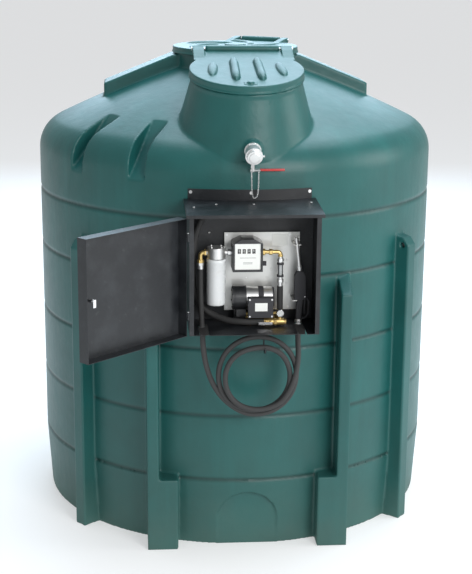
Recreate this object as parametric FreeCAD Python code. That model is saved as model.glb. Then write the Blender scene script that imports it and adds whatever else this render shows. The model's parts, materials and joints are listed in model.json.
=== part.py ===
# Bunded diesel dispensing tank with a fuel cabinet on its wall.
# Millimetres, +Z up, front is -Y, origin on the tank axis at floor level.
import FreeCAD, Part
import os, math

V = FreeCAD.Vector

# Driving dimensions of the moulded tank
wall_r = 1100.0          # outer radius of the straight wall
base_in = 23.0           # how far the floor's edge stands inside the wall
base_r = wall_r - base_in
wall_t = 9.0             # moulded wall thickness
floor_t = 12.0           # moulded floor thickness
groove_z = [371.0, 724.0, 1084.0, 1454.0, 1762.0]
groove_depth = 8.0
groove_half = 14.0
shoulder_z = 1980.0      # height where the straight wall ends
shoulder_r = 180.0       # shoulder rounding
shoulder_deg = 64.0      # how far the shoulder turns before the crown
crown_r = 330.0          # radius where the crown meets the centre neck
crown_z = 2425.0
crown_bulge = 9.0
slit = 0.3               # gap kept between curved faces of touching pieces
run = 0.05               # radial running clearance of pins and shafts

# Feet and side buttresses
leg_out_y = 30.0         # foot's front beyond the wall
leg_front_y = -wall_r - leg_out_y
leg_in_x = 365.0
leg_out_x = 525.0
leg_foot_z = 388.0
leg_post_x = 465.0
leg_post_z = 1375.0
leg_deep = 260.0         # how far a leg runs back into the wall
leg_rise = 0.45          # slope of the leg's top
fin_deg = 49.0
fin_out = 80.0
fin_w = 77.0
fin_z = 1590.0
fin_strap_z = 1550.0
fin_strap_r = 14.0

# Arch recess and shoulder pockets
arch_half = 160.0
arch_top = 297.0
arch_deep = 35.0
pocket_deg = [-31.0, -52.5, -107.0]
pocket_w = 95.0
pocket_z = [1936.0, 2211.0]      # heights of the pocket floor's low and high edge
pocket_in = 250.0
pocket_low = (wall_r, pocket_z[0])
pocket_high = (wall_r - pocket_in, pocket_z[1])

# Beam across the crown
beam_in = 365.0          # beam's end inside the wall
beam_half = wall_r - beam_in
beam_w = 220.0
beam_low_z = 2180.0      # inside the crown
beam_end_z = 2334.0
beam_top_z = 2490.0
beam_top_half = 351.0

# Lids: radius, plate, skirt depth, skirt thickness
lid_plate = 8.0
lid_skirt_t = 8.0
lid_gasket = 3.0
front_lid_r = 292.0
front_lid_skirt = 42.0
front_lid_tilt = 12.0
front_lid_in = 300.0     # lid's centre inside the wall
front_lid_z = 2483.0
front_lid_c = V(0, front_lid_in - wall_r, front_lid_z)
front_pin_half = 195.0
front_horn_w = 59.0
centre_lid_r = 350.0
centre_lid_skirt = 35.0
centre_lid_turn = -28.0
centre_lid_z = 2533.0
centre_lid_c = V(0, 0, centre_lid_z)
centre_pin_half = 120.0
centre_horn_w = 40.0
horn_gap = 8.0
lid_pin_r = 6.0
barrel_r = 19.0
hinge_back = 26.0        # hinge axis behind the lid's edge
hinge_up = 6.0           # hinge axis above the lid's top
rim_gap = 6.0            # lid skirt to neck rim
rim_t = 10.0
bead_out = 11.0
neck_base_r = 389.0
neck_base_in = 394.0
neck_base_z = 2055.0
neck_base_c = V(0, neck_base_in - wall_r, neck_base_z)

# Inner tank
in_gap = 32.0            # floor's edge to inner tank
in_wall_gap = 46.0
in_r = min(base_r - in_gap, wall_r - in_wall_gap)
in_t = 8.0
in_wall_z = 1880.0
in_cone_in = 225.0
in_cone_z = 2100.0
in_cone = (in_r - in_cone_in, in_cone_z)
in_neck_r = 230.0
in_neck_base = 2180.0
in_neck_z = 2440.0
port_in = 460.0          # port's centre inside the wall
port_y = port_in - wall_r
port_r = 120.0
port_z = 2154.0
port_t = 10.0
cap_t = 25.0

# Fill point on the front neck
fill_x, fill_out, fill_z = 8.0, 112.0, 2088.0
fill_c = V(fill_x, -wall_r - fill_out, fill_z)    # centre of the cap's front
fill_tilt = 12.0
fill_pipe_r = 30.0
fill_pipe_t = 4.0
fill_cap_r = 35.0
fill_cap_len = 22.0
fill_collar_r = 43.0
fill_collar_len = 16.0
fill_valve_len = 62.0
fill_valve_r = 38.0
fill_ball_r = 29.0
fill_stem = 88.0
fill_lever_len = 156.0
chain_r = 2.0
chain_low = 1884.0
chain_hole = 29.0        # from the lever's axis
chain_below = 6.0
fill_flange_r = 42.0
fill_flange_t = 6.0

# Pipes inside the tank
pipe_end_z = 1960.0      # fill pipe's low end
dip_low_z = 70.0         # suction line's low end
dip_top_z = 2262.0       # its run over the inner tank
dip_bend_z = 2215.0
dip_wall_z = 2000.0      # where it drops between the walls
exit_z = 1780.0          # where it leaves the wall

# Cabinet
cab_low = 1250.0
cab_deep = 300.0         # front edge beyond the wall
cab_front = -wall_r - cab_deep
sheet = 2.0
cab_flange = 22.0
roof_over = 14.0         # roof beyond the cabinet at its sides
roof_fore = 15.0
roof_front = cab_front - roof_fore
roof_low = 1848.0
roof_rise = 0.035
roof_lip = 14.0
flange_top = 1915.0
flange_in = 7.0          # wall flange inside the cabinet's sides
back_gap = 0.2
door_deep = 60.0
door_h = 583.0
door_open = 137.0
door_axis_out = 6.0
knuckle_r = 5.0
knuckle_len = 40.0
door_pin_r = 3.0

# Equipment plate
plate_z0, plate_z1 = 1303.0, 1703.0
plate_out, plate_t = 20.0, 3.0
plate_y = -wall_r - plate_out
pipe_out = 90.0
pipe_y = -wall_r - pipe_out      # plane of the meter, filter and riser ports
port_axis_z = 1618.0

# Meter
meter_x0 = -97.0
meter_w = 150.0
meter_x1 = meter_x0 + meter_w
meter_z0, meter_z1 = 1525.0, 1690.0
meter_out = 40.0         # front beyond the ports' plane
meter_front = pipe_y - meter_out
meter_chamfer = 22.0
face_inset = 11.0
face_deep = 6.0
face_t = 2.0
wheel_r = 17.0
wheel_w = 9.0
wheel_pitch = 24.0
wheel_shaft_r = 2.5
wheel_z = 1629.0
wheel_mid_x = meter_x0 + 69.0
knob_y, knob_z = pipe_y - 10.0, 1562.0
knob_r = 12.0
knob_len = 18.0

# Filter
filter_gap = 30.0        # cartridge to meter
can_r = 49.0
can_z0, can_z1 = 1352.0, 1588.0
can_t = 1.5
head_r = 46.0
head_z1 = 1645.0
spigot_r = 12.0
filter_port_half = 50.0
filter_x = meter_x0 - filter_gap - can_r
elbow_run = 28.0
elbow_x = filter_x - filter_port_half - elbow_run
elbow_z = 1567.0         # low end of the elbow's bend
tail_z = 1535.0          # where the hose ends on its tail

# Riser
riser_gap = 91.0         # meter to riser
riser_x = meter_x1 + riser_gap
riser_hose_r = 15.0
riser_z = [1325.0, 1443.0, 1491.0, 1562.0, 1594.0]
sight_r = 17.0
sight_glass_r = 12.0

# Pump and motor
motor_gap = 40.0         # motor's end to the riser
motor_len = 130.0
pump_len = 60.0
pump_out = 80.0
motor_x1 = riser_x - motor_gap
pump_x1 = motor_x1 - motor_len
pump_x0 = pump_x1 - pump_len
pump_y = -wall_r - pump_out
pump_z = 1385.0
pump_r = 60.0
motor_r = 52.0
rotor_r = 34.0
rotor_bore = 40.0
shaft_r = 8.0
box_w = 124.0
box_x1 = motor_x1 - 1.0
box_x0 = box_x1 - box_w
box_z0, box_z1 = 1302.0, 1402.0
box_out = 95.0
box_front = pump_y - box_out
out_z = 1315.0

# Suction line
low_out, low_z = 145.0, 1274.0
low_y = -wall_r - low_out
suction_r = 16.0
valve_len = 64.0
tee_x = riser_x - 4.0
valve_x1 = tee_x - 18.0
valve_x0 = valve_x1 - valve_len
valve_r = 17.0
valve_ball_r = 12.0
valve_stem = 34.0
valve_lever_len = 60.0
inlet_out = 50.0
inlet_y = -wall_r - inlet_out
gauge_z = 1320.0
gauge_r = 18.0
gauge_deep = 17.0

# Nozzle
noz_out = 100.0
noz_y = -wall_r - noz_out
noz_t = 34.0
noz_z0, noz_z1 = 1376.0, 1523.0
grip_z = 1276.0
swivel_z = 1240.0        # where the hose ends at the nozzle
riser_room = 92.0        # riser to nozzle grip
grip_x = riser_x + riser_room
spout_r = 9.5
holster_z = 1655.0
spout_tip = V(grip_x - 16, noz_y, 1690)
spout_base = V(grip_x + 4, noz_y, noz_z1)
trigger_x, trigger_z = grip_x + 30.0, 1392.0
plate_x0, plate_x1 = pump_x0 - 45.0, grip_x + 11.0

# The cabinet is as wide as what it holds
side_room = 82.0         # nozzle grip to the right side
elbow_room = 64.0        # delivery elbow to the left side
cab_half = max(grip_x + side_room, elbow_room - elbow_x)
roof_half = cab_half + roof_over
flange_half = cab_half - flange_in

# Delivery hose
hose_r = 13.5
coil_off = 162.0
coil_y = -wall_r - coil_off
lay_y = coil_y + 10.0     # plane of the hose against its hook
coil_cx, coil_cz = 24.0, 992.0
coil_out, coil_in = 206.0, 146.0
coil_fore, coil_back = 41.0, 24.0
lead_in = [(elbow_x, pipe_y, tail_z), (elbow_x, pipe_y, 1440), (elbow_x + 2, pipe_y - 28, 1335),
           (elbow_x + 6, pipe_y - 53, 1230), (elbow_x + 11, lay_y, 1135), (coil_cx - 252, lay_y, 1045),
           (coil_cx - 223, lay_y, 962), (coil_cx - 176, lay_y, 892)]
lead_out = [(coil_cx + 126, lay_y - 38, 860), (coil_cx + 172, lay_y - 38, 930),
            (coil_cx + 200, lay_y - 32, 1010), (grip_x, lay_y, 1090), (grip_x, noz_y, 1170),
            (grip_x, noz_y, swivel_z)]


def save(node, shape):
    if isinstance(shape, list):
        shape = Part.makeCompound(shape)
    shape.exportStep("parts/" + node + ".step")


def box(x0, x1, y0, y1, z0, z1):
    return Part.makeBox(x1 - x0, y1 - y0, z1 - z0, V(x0, y0, z0))


def rod(a, b, r):
    d = b - a
    return Part.makeCylinder(r, d.Length, a, d)


def pipe(a, b, r, inner):
    d = b - a
    u = V(d).normalize()
    return rod(a, b, r).cut(rod(a - u, b + u, inner))


def fused(first, *more):
    return first.multiFuse(list(more)).removeSplitter()


def poly_x(points, x0, x1):
    # outline in the YZ plane, carried along X
    ring = [V(x0, y, z) for y, z in points]
    return Part.Face(Part.makePolygon(ring + ring[:1])).extrude(V(x1 - x0, 0, 0))


def poly_y(points, y0, y1):
    # outline in the XZ plane, carried along Y
    ring = [V(x, y0, z) for x, z in points]
    return Part.Face(Part.makePolygon(ring + ring[:1])).extrude(V(0, y1 - y0, 0))


def spun(points):
    # outline of (radius, height) turned about the tank axis
    ring = [V(r, 0, z) for r, z in points]
    return Part.Face(Part.makePolygon(ring + ring[:1])).revolve(V(0, 0, 0), V(0, 0, 1), 360)


def centre_line(points, radius=None):
    # straight runs joined by tangent arcs
    P = [V(*p) for p in points]
    edges, start = [], P[0]
    for i in range(1, len(P) - 1):
        a, b = P[i - 1] - P[i], P[i + 1] - P[i]
        half = (math.pi - a.getAngle(b)) / 2.0
        if half < 0.005:
            continue
        r = radius or 0.45 * min(a.Length, b.Length) / math.tan(half)
        cut = r * math.tan(half)
        ua, ub = V(a).normalize(), V(b).normalize()
        t1, t2 = P[i] + ua * cut, P[i] + ub * cut
        bis = V(ua + ub).normalize()
        mid = P[i] + bis * (r / math.cos(half) - r)
        edges.append(Part.makeLine(start, t1))
        edges.append(Part.Arc(t1, mid, t2).toShape())
        start = t2
    edges.append(Part.makeLine(start, P[-1]))
    return Part.Wire(edges)


def swept(points, r, radius=None, inner=None):
    line = centre_line(points, radius)
    a, b = V(*points[0]), V(*points[1])
    ring = Part.Wire(Part.makeCircle(r, a, b - a))
    solid = Part.Solid(line.makePipeShell([ring], True, False))
    if inner:
        hole = Part.Wire(Part.makeCircle(inner, a, b - a))
        solid = solid.cut(Part.Solid(line.makePipeShell([hole], True, False)))
    return solid


def hexagon(a, b, across):
    # hexagonal bar from a to b
    d = b - a
    ring = []
    for k in range(6):
        ang = math.radians(60 * k)
        ring.append(V(across / 2.0 / math.cos(math.radians(30)) * math.cos(ang),
                      across / 2.0 / math.cos(math.radians(30)) * math.sin(ang), 0))
    bar = Part.Face(Part.makePolygon(ring + ring[:1])).extrude(V(0, 0, d.Length))
    bar.Placement = FreeCAD.Placement(a, FreeCAD.Rotation(V(0, 0, 1), d))
    return bar


def turned(shape, axis_point, axis, degrees):
    out = shape.copy()
    out.rotate(axis_point, axis, degrees)
    return out


def at_azimuth(shape, degrees):
    # shapes are drawn at the front, then carried round the tank axis
    return turned(shape, V(0, 0, 0), V(0, 0, 1), degrees)


def placed(shape, centre, tilt, turn):
    out = shape.copy()
    out.Placement = FreeCAD.Placement(centre, FreeCAD.Rotation(V(0, 0, 1), turn)
                                      * FreeCAD.Rotation(V(1, 0, 0), tilt))
    return out


def roof_z(y):
    # underside of the sloping roof
    return roof_low + (y - roof_front) * roof_rise


# Moulded outer tank

def wall_outline():
    # the outside from floor to crown, as (radius, height)
    pts = [(0, 0), (base_r, 0)]
    for z in groove_z:
        pts += [(wall_r, z - groove_half), (wall_r - groove_depth, z), (wall_r, z + groove_half)]
    pts.append((wall_r, shoulder_z))
    return pts


def outer_body():
    pts = [V(r, 0, z) for r, z in wall_outline()]
    edges = [Part.makeLine(a, b) for a, b in zip(pts, pts[1:])]
    c = V(wall_r - shoulder_r, 0, shoulder_z)
    def on_shoulder(deg):
        a = math.radians(deg)
        return c + V(shoulder_r * math.cos(a), 0, shoulder_r * math.sin(a))
    end = on_shoulder(shoulder_deg)
    edges.append(Part.Arc(pts[-1], on_shoulder(shoulder_deg / 2.0), end).toShape())
    top = V(crown_r, 0, crown_z)
    chord = top - end
    up = V(-chord.z, 0, chord.x).normalize()
    if up.z < 0:
        up = up * -1
    edges.append(Part.Arc(end, (end + top) * 0.5 + up * crown_bulge, top).toShape())
    neck_top = centre_lid_c.z - lid_plate - lid_gasket
    rim = centre_lid_r - lid_skirt_t - rim_gap
    for a, b in ((top, V(rim, 0, crown_z)), (V(rim, 0, crown_z), V(rim, 0, neck_top)),
                 (V(rim, 0, neck_top), V(0, 0, neck_top)), (V(0, 0, neck_top), V(0, 0, 0))):
        if (b - a).Length > 0.01:
            edges.append(Part.makeLine(a, b))
    return Part.Face(Part.Wire(edges)).revolve(V(0, 0, 0), V(0, 0, 1), 360)


def cavity_body():
    # the room inside the moulded wall
    r = wall_r - groove_depth - wall_t
    c_r, c_z = wall_r - shoulder_r, shoulder_z
    pts = [(0, floor_t), (base_r - wall_t - groove_depth, floor_t), (r, groove_z[0]), (r, shoulder_z)]
    for deg in (22.0, 43.0, shoulder_deg):
        a = math.radians(deg)
        inset = shoulder_r - wall_t - 6.0
        pts.append((c_r + inset * math.cos(a), c_z + inset * math.sin(a)))
    pts.append((crown_r, crown_z - wall_t - 2.0))
    pts.append((0, crown_z - wall_t - 2.0))
    return spun(pts)


def cone_neck(top_r, base_r_, drop, low):
    # oblique cone from the dome to the tilted rim of the front neck
    rim_c = lid_point(0, 0, -drop)
    normal = lid_point(0, 0, 1) - lid_point(0, 0, 0)
    ring = Part.Circle(rim_c, normal, top_r)
    base = Part.Circle(neck_base_c + V(0, 0, low), V(0, 0, 1), base_r_)
    return Part.makeLoft([Part.Wire(base.toShape()), Part.Wire(ring.toShape())], True, True)


def lid_point(x, y, z):
    # a point of the front lid's own frame
    rot = FreeCAD.Rotation(V(1, 0, 0), front_lid_tilt)
    return front_lid_c + rot.multVec(V(x, y, z))


def on_front(shape):
    return placed(shape, front_lid_c, front_lid_tilt, 0)


def on_centre(shape):
    return placed(shape, centre_lid_c, 0, centre_lid_turn)


def rim_r(lid_r):
    return lid_r - lid_skirt_t - rim_gap


def hinge_block(lid_r, half, deep):
    # moulded block with the hinge barrel, in the lid's frame
    y = lid_r + hinge_back
    block = box(-half, half, y - barrel_r, y + barrel_r, -deep, hinge_up)
    barrel = rod(V(-half, y, hinge_up), V(half, y, hinge_up), barrel_r)
    hole = rod(V(-half - 1, y, hinge_up), V(half + 1, y, hinge_up), lid_pin_r + run)
    return fused(block, barrel), hole


def leg(side):
    y0, y1 = leg_front_y, leg_front_y + leg_deep
    foot = box(leg_in_x, leg_out_x, y0, y1, 0, leg_foot_z)
    post = poly_x([(y0, 0), (y0, leg_post_z), (y1, leg_post_z + leg_deep * leg_rise), (y1, 0)], leg_post_x, leg_out_x)
    out = fused(foot, post)
    return out if side > 0 else out.mirror(V(0, 0, 0), V(1, 0, 0))


def leg_room(side):
    y0, y1 = leg_front_y + wall_t, leg_front_y + leg_deep
    x0, x1 = leg_in_x + wall_t, leg_out_x - wall_t
    top = leg_post_z - wall_t
    foot = box(x0, x1, y0, y1, floor_t, leg_foot_z - wall_t)
    post = poly_x([(y0, floor_t), (y0, top), (y1, top + (y1 - y0) * leg_rise), (y1, floor_t)],
                  leg_post_x + wall_t, x1)
    out = fused(foot, post)
    return out if side > 0 else out.mirror(V(0, 0, 0), V(1, 0, 0))


def fin(deg):
    # side buttress, drawn at the front then carried round
    front, mid, back = -wall_r - fin_out, -wall_r - fin_out * 0.5, -wall_r + 60
    out = poly_x([(front, 0), (front, fin_z - fin_out * 0.5), (-wall_r - fin_out * 0.6, fin_z),
                  (back, fin_z + 25), (back, 0)], -fin_w / 2.0, fin_w / 2.0)
    strap = rod(V(-fin_w, mid, fin_strap_z), V(fin_w, mid, fin_strap_z), fin_strap_r)
    return at_azimuth(out.cut(strap), deg)


def pocket(deg, grow):
    # flat floored pocket cut from the shoulder, grown for the inner face
    (r0, z0), (r1, z1) = pocket_low, pocket_high
    n = V(0, -(z1 - z0), (r0 - r1)).normalize()
    low, high = V(0, -r0, z0), V(0, -r1, z1)
    along = V(high - low).normalize()
    a = low - along * 60 - n * grow
    b = high + along * 160 - n * grow
    ring = [a, b, b + n * 260, a + n * 260]
    half = pocket_w / 2.0 + grow
    pts = [(p.y, p.z) for p in ring]
    return at_azimuth(poly_x(pts, -half, half), deg)


def arch(grow):
    half = arch_half + grow
    y0, y1 = -wall_r - 60, -wall_r + arch_deep + grow
    spring = arch_top - arch_half
    return fused(box(-half, half, y0, y1, -1, spring), rod(V(0, y0, spring), V(0, y1, spring), half))


def beam(grow):
    g = grow
    pts = [(beam_half - g, beam_low_z), (beam_half - g, beam_end_z - g), (beam_top_half - g, beam_top_z - g),
           (g - beam_top_half, beam_top_z - g), (g - beam_half, beam_end_z - g), (g - beam_half, beam_low_z)]
    return poly_y(pts, -beam_w / 2.0 + g, beam_w / 2.0 - g)


def bund_shell():
    fb, fh = hinge_block(front_lid_r, front_pin_half, 150)
    cb, ch = hinge_block(centre_lid_r, centre_pin_half, 140)
    rr = rim_r(front_lid_r)
    low = front_lid_skirt + 18
    rim = rod(V(0, 0, -low - 40), V(0, 0, -lid_plate - lid_gasket), rr)
    bead = rod(V(0, 0, -low), V(0, 0, -low + 12), rr + bead_out)
    fins = [fin(s * d) for s in (1, -1) for d in (fin_deg, 180 - fin_deg)]
    outer = outer_body().multiFuse([beam(0), cone_neck(rr + 6, neck_base_r, low - 2, 0), on_front(rim),
                                    on_front(bead), on_front(fb), on_centre(cb), leg(1), leg(-1)] + fins)
    boss = rod(fill_at(pipe_back + fill_flange_t), fill_at(pipe_back + 60), fill_flange_r + 4)
    outer = outer.fuse(boss).cut(arch(0))
    for d in pocket_deg:
        outer = outer.cut(pocket(d, 0))
    room = cavity_body().cut(arch(wall_t))
    for d in pocket_deg:
        room = room.cut(pocket(d, wall_t))
    crim = rim_r(centre_lid_r) - rim_t
    well = rod(V(0, 0, crown_z - 60), V(0, 0, centre_lid_c.z), crim)
    fwell = rod(V(0, 0, -low - 60), V(0, 0, 20), rr - rim_t)
    room = room.multiFuse([beam(wall_t), cone_neck(rr - rim_t, neck_base_r - wall_t - 6, low + 6, 0),
                           on_front(fwell), well, leg_room(1), leg_room(-1)])
    shell = outer.cut(room)
    shell = shell.cut(on_front(fh)).cut(on_centre(ch))
    shell = shell.cut(Part.makeCompound(bolt_rods(3.0 + run, 30)))
    shell = shell.cut(fill_hole(slit)).cut(suction_hole(slit))
    return shell.removeSplitter()


# Inner tank and what stands on it

def inner_tank():
    z0 = floor_t
    def profile(g, top):
        k = g * 0.45
        return [(0, z0 + g), (in_r - g, z0 + g), (in_r - g, in_wall_z - k), (in_cone[0] - g, in_cone[1] - g),
                (in_neck_r - g, in_neck_base - g), (in_neck_r - g, top), (0, top)]
    boss = rod(V(0, port_y, port_z - 110), V(0, port_y, port_z - port_t), port_r)
    outer = spun(profile(0, in_neck_z)).multiFuse([boss])
    room = spun(profile(in_t, in_neck_z + 1)).multiFuse(
        [rod(V(0, port_y, port_z - 150), V(0, port_y, port_z), port_r - in_t)])
    return outer.cut(room).removeSplitter()


def inner_manway_cap():
    return fused(rod(V(0, 0, in_neck_z), V(0, 0, in_neck_z + cap_t), in_neck_r + 10),
                 rod(V(0, 0, in_neck_z - 20), V(0, 0, in_neck_z), in_neck_r - in_t - slit))


drop_at = V(fill_x, port_y - 36, 0)
dip_at = V(fill_x - 70, port_y + 30, 0)
dip_r = 14.0


def port_plate():
    plate = rod(V(0, port_y, port_z - port_t), V(0, port_y, port_z), port_r)
    for at, r in ((drop_at, fill_pipe_r), (dip_at, dip_r)):
        plate = plate.cut(rod(at + V(0, 0, port_z - 60), at + V(0, 0, port_z + 60), r + slit))
    return plate


def fill_dir():
    a = math.radians(fill_tilt)
    return V(0, -math.cos(a), -math.sin(a))


def fill_at(back):
    return fill_c - fill_dir() * back


def fill_down():
    a = math.radians(fill_tilt)
    return V(0, math.sin(a), -math.cos(a))


cap_front = 4.0
collar_back = cap_front + fill_cap_len
valve_back = collar_back + fill_collar_len
pipe_back = valve_back + fill_valve_len


def fill_hole(grow):
    return rod(fill_at(pipe_back - 20), fill_at(pipe_back + 90), fill_pipe_r + grow)


def fill_pipe():
    start = fill_at(pipe_back)
    k = (drop_at.y - start.y) / -fill_dir().y
    corner = start - fill_dir() * k
    pts = [(start.x, start.y, start.z), (corner.x, corner.y, corner.z), (corner.x, corner.y, pipe_end_z)]
    return swept(pts, fill_pipe_r, fill_pipe_r + 6, fill_pipe_r - fill_pipe_t)


suction_exit = V(elbow_x + 8, 0, exit_z)


def wall_y(x, r):
    return -math.sqrt(r * r - x * x)


def suction_hole(grow):
    x = suction_exit.x
    y, z = wall_y(x, wall_r), suction_exit.z
    return rod(V(x, y - 30, z), V(x, y + 60, z), dip_r + grow)


def suction_line():
    mid = (in_r + wall_r - groove_depth - wall_t) / 2.0
    x = suction_exit.x
    y = wall_y(x, mid)
    back = wall_y(0, wall_r) - back_gap - sheet
    pts = [(dip_at.x, dip_at.y, dip_low_z), (dip_at.x, dip_at.y, dip_top_z), (x + 30, y + 190, dip_bend_z),
           (x, y, dip_wall_z), (x, y, suction_exit.z), (x, back - 10, suction_exit.z)]
    return swept(pts, dip_r, 14.6, dip_r - 3)


# Lids, drawn in their own frame: origin at the top's centre, hinge at the rear

def lid(lid_r, skirt, half, horn_w, ribs):
    plate = rod(V(0, 0, -lid_plate), V(0, 0, 0), lid_r)
    ring = pipe(V(0, 0, -skirt), V(0, 0, -lid_plate), lid_r, lid_r - lid_skirt_t)
    ring = ring.cut(box(-lid_r, lid_r, lid_r * 0.42, lid_r * 2, -skirt - 1, -lid_plate))
    y = lid_r + hinge_back
    horns = []
    for s in (1, -1):
        x0 = half + horn_gap
        x1 = x0 + horn_w
        a, b = sorted((s * x0, s * x1))
        horns.append(box(a, b, lid_r * 0.5, y, -lid_plate, hinge_up + 8))
        horns.append(rod(V(a, y, hinge_up), V(b, y, hinge_up), barrel_r - 3))
    out = plate.multiFuse([ring] + horns + ribs)
    reach = half + horn_gap + horn_w + 20
    return out.cut(rod(V(-reach, y, hinge_up), V(reach, y, hinge_up), lid_pin_r + run)).removeSplitter()


def front_lid():
    ribs = []
    for x0 in (-92, 42):
        ribs.append(box(x0, x0 + 46, -190, 130, 0, 14))
    for s in (-1, 1):
        ribs.append(box(s * 165 - 22, s * 165 + 22, -120, 90, 0, 9))
    ribs.append(rod(V(0, -250, 0), V(0, -250, 12), 18))
    return on_front(lid(front_lid_r, front_lid_skirt, front_pin_half, front_horn_w, ribs))


def centre_lid():
    ribs = [pipe(V(0, 0, 0), V(0, 0, 10), 210, 170), rod(V(0, 0, 0), V(0, 0, 12), 60)]
    return on_centre(lid(centre_lid_r, centre_lid_skirt, centre_pin_half, centre_horn_w, ribs))


def lid_pin(lid_r, half, horn_w):
    y = lid_r + hinge_back
    end = half + horn_gap + horn_w + 1
    out = rod(V(-end, y, hinge_up), V(end, y, hinge_up), lid_pin_r)
    for s in (-1, 1):
        a, b = sorted((s * end, s * (end + 5)))
        out = out.fuse(rod(V(a, y, hinge_up), V(b, y, hinge_up), lid_pin_r + 4))
    return out.removeSplitter()


def lid_gasket_ring(lid_r):
    rr = rim_r(lid_r)
    return pipe(V(0, 0, -lid_plate - lid_gasket), V(0, 0, -lid_plate), rr + 2, rr - rim_t)


# Fill point

def fill_flange():
    # zinc flange on the neck wall that carries the pipe
    a, b = fill_at(pipe_back), fill_at(pipe_back + fill_flange_t)
    return rod(a, b, fill_flange_r).cut(fill_hole(slit))


def fill_valve_body():
    a, b = fill_at(pipe_back), fill_at(valve_back)
    mid = (a + b) * 0.5
    u = fill_dir()
    body = fused(rod(mid - u * 24, mid + u * 24, fill_valve_r),
                 hexagon(a, a + u * 14, 70), hexagon(b - u * 14, b, 70),
                 rod(a, b, 33), rod(mid, mid + fill_down() * (fill_valve_r + 14), 14))
    body = body.cut(Part.makeSphere(fill_ball_r + run, mid))
    body = body.cut(rod(a - u, b + u, 22))
    return body.cut(rod(mid, mid + fill_down() * 80, 7 + run))


def fill_valve_lever():
    # ball, stem and red handle are one turning assembly
    a, b = fill_at(pipe_back), fill_at(valve_back)
    mid = (a + b) * 0.5
    down = fill_down()
    ball = Part.makeSphere(fill_ball_r, mid).cut(rod(mid - V(60, 0, 0), mid + V(60, 0, 0), 21))
    stem = rod(mid + down * (fill_ball_r - 4), mid + down * (fill_stem + 8), 7)
    grip = box(-14, fill_lever_len, -9, 9, -3, 3)
    grip.Placement = FreeCAD.Placement(mid + down * fill_stem, FreeCAD.Rotation(V(1, 0, 0), fill_tilt))
    return fused(ball, stem, grip)


def fill_collar():
    a, b = fill_at(valve_back), fill_at(collar_back)
    out = rod(a, b, fill_collar_r).cut(rod(a + fill_dir() * 4, b + fill_dir(), 24))
    lug = box(fill_collar_r - 4, fill_collar_r + 9, -4, 4, -4, 4)
    lug.Placement = FreeCAD.Placement((a + b) * 0.5, FreeCAD.Rotation(V(1, 0, 0), fill_tilt))
    return fused(out, lug)


def fill_cap():
    a, b = fill_at(collar_back - slit), fill_at(cap_front)
    u = fill_dir()
    groove = rod(a + u * 6, a + u * 9, 60).cut(rod(a + u * 5, a + u * 10, fill_cap_r - 3))
    out = rod(a, b, fill_cap_r).cut(groove)
    grip = rod(b, b + u * cap_front, fill_cap_r * 0.72)
    return fused(out, grip, rod(a - u * 9, a, 23))


def cap_ring():
    # loose ring in the cap's groove that the chain hangs from
    a = fill_at(collar_back - slit) + fill_dir() * 6.6
    out = pipe(a, a + fill_dir() * 1.8, fill_cap_r + 2.5, fill_cap_r - 3 + slit)
    lug = rod(V(fill_c.x - 12, a.y - 1.2, a.z - fill_cap_r - 6), V(fill_c.x - 12, a.y + 0.2, a.z - fill_cap_r), 2.2)
    return fused(out, lug)


def cap_chain():
    # from the cap's ring down and up to the hole near the lever's root
    a = fill_at(collar_back - slit) + fill_dir() * 7.5
    mid = (fill_at(pipe_back) + fill_at(valve_back)) * 0.5
    end = mid + fill_down() * (fill_stem + chain_below) + V(chain_hole, 0, 0)
    x0, z0 = fill_c.x - 12, a.z - fill_cap_r - 6
    y1 = (a.y + end.y) / 2.0
    return swept([(x0, a.y - 0.5, z0), (x0 + 2, a.y, z0 - 112), (x0 + 10, a.y + 10, chain_low + 6),
                  (x0 + 22, y1 - 8, chain_low), (end.x - 6, y1 + 16, chain_low + 12), (end.x, end.y, end.z - 60),
                  (end.x, end.y, end.z)], chain_r)


# Cabinet

def bolt_rods(r, deep):
    out = []
    for x in (22.0 - cab_half, 2.0, cab_half - 20.0):
        y = wall_y(x, wall_r)
        u = V(x, y, 0).normalize()
        p = V(x, y, flange_top - 16)
        out.append(rod(p + u * 20, p - u * deep, r))
    return out


def cabinet_bolts():
    out = []
    for x in (22.0 - cab_half, 2.0, cab_half - 20.0):
        y = wall_y(x, wall_r)
        u = V(x, y, 0).normalize()
        p = V(x, y, flange_top - 16)
        seat = slit + 3.0
        out.append(fused(rod(p + u * seat, p - u * 15, 3.0), rod(p + u * seat, p + u * (seat + 4), 8)))
    return out


screw_at = [(-178, roof_front + 229), (8, roof_front + 225), (cab_half - 22, roof_front + 255),
            (28 - cab_half, roof_front + 170)]


def roof_screws():
    out = []
    for x, y in screw_at:
        z = roof_z(y) + sheet
        out.append(rod(V(x, y, z + 0.2), V(x, y, z + 3.2), 6))
    return out


def back_y():
    return -wall_r - back_gap


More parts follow.
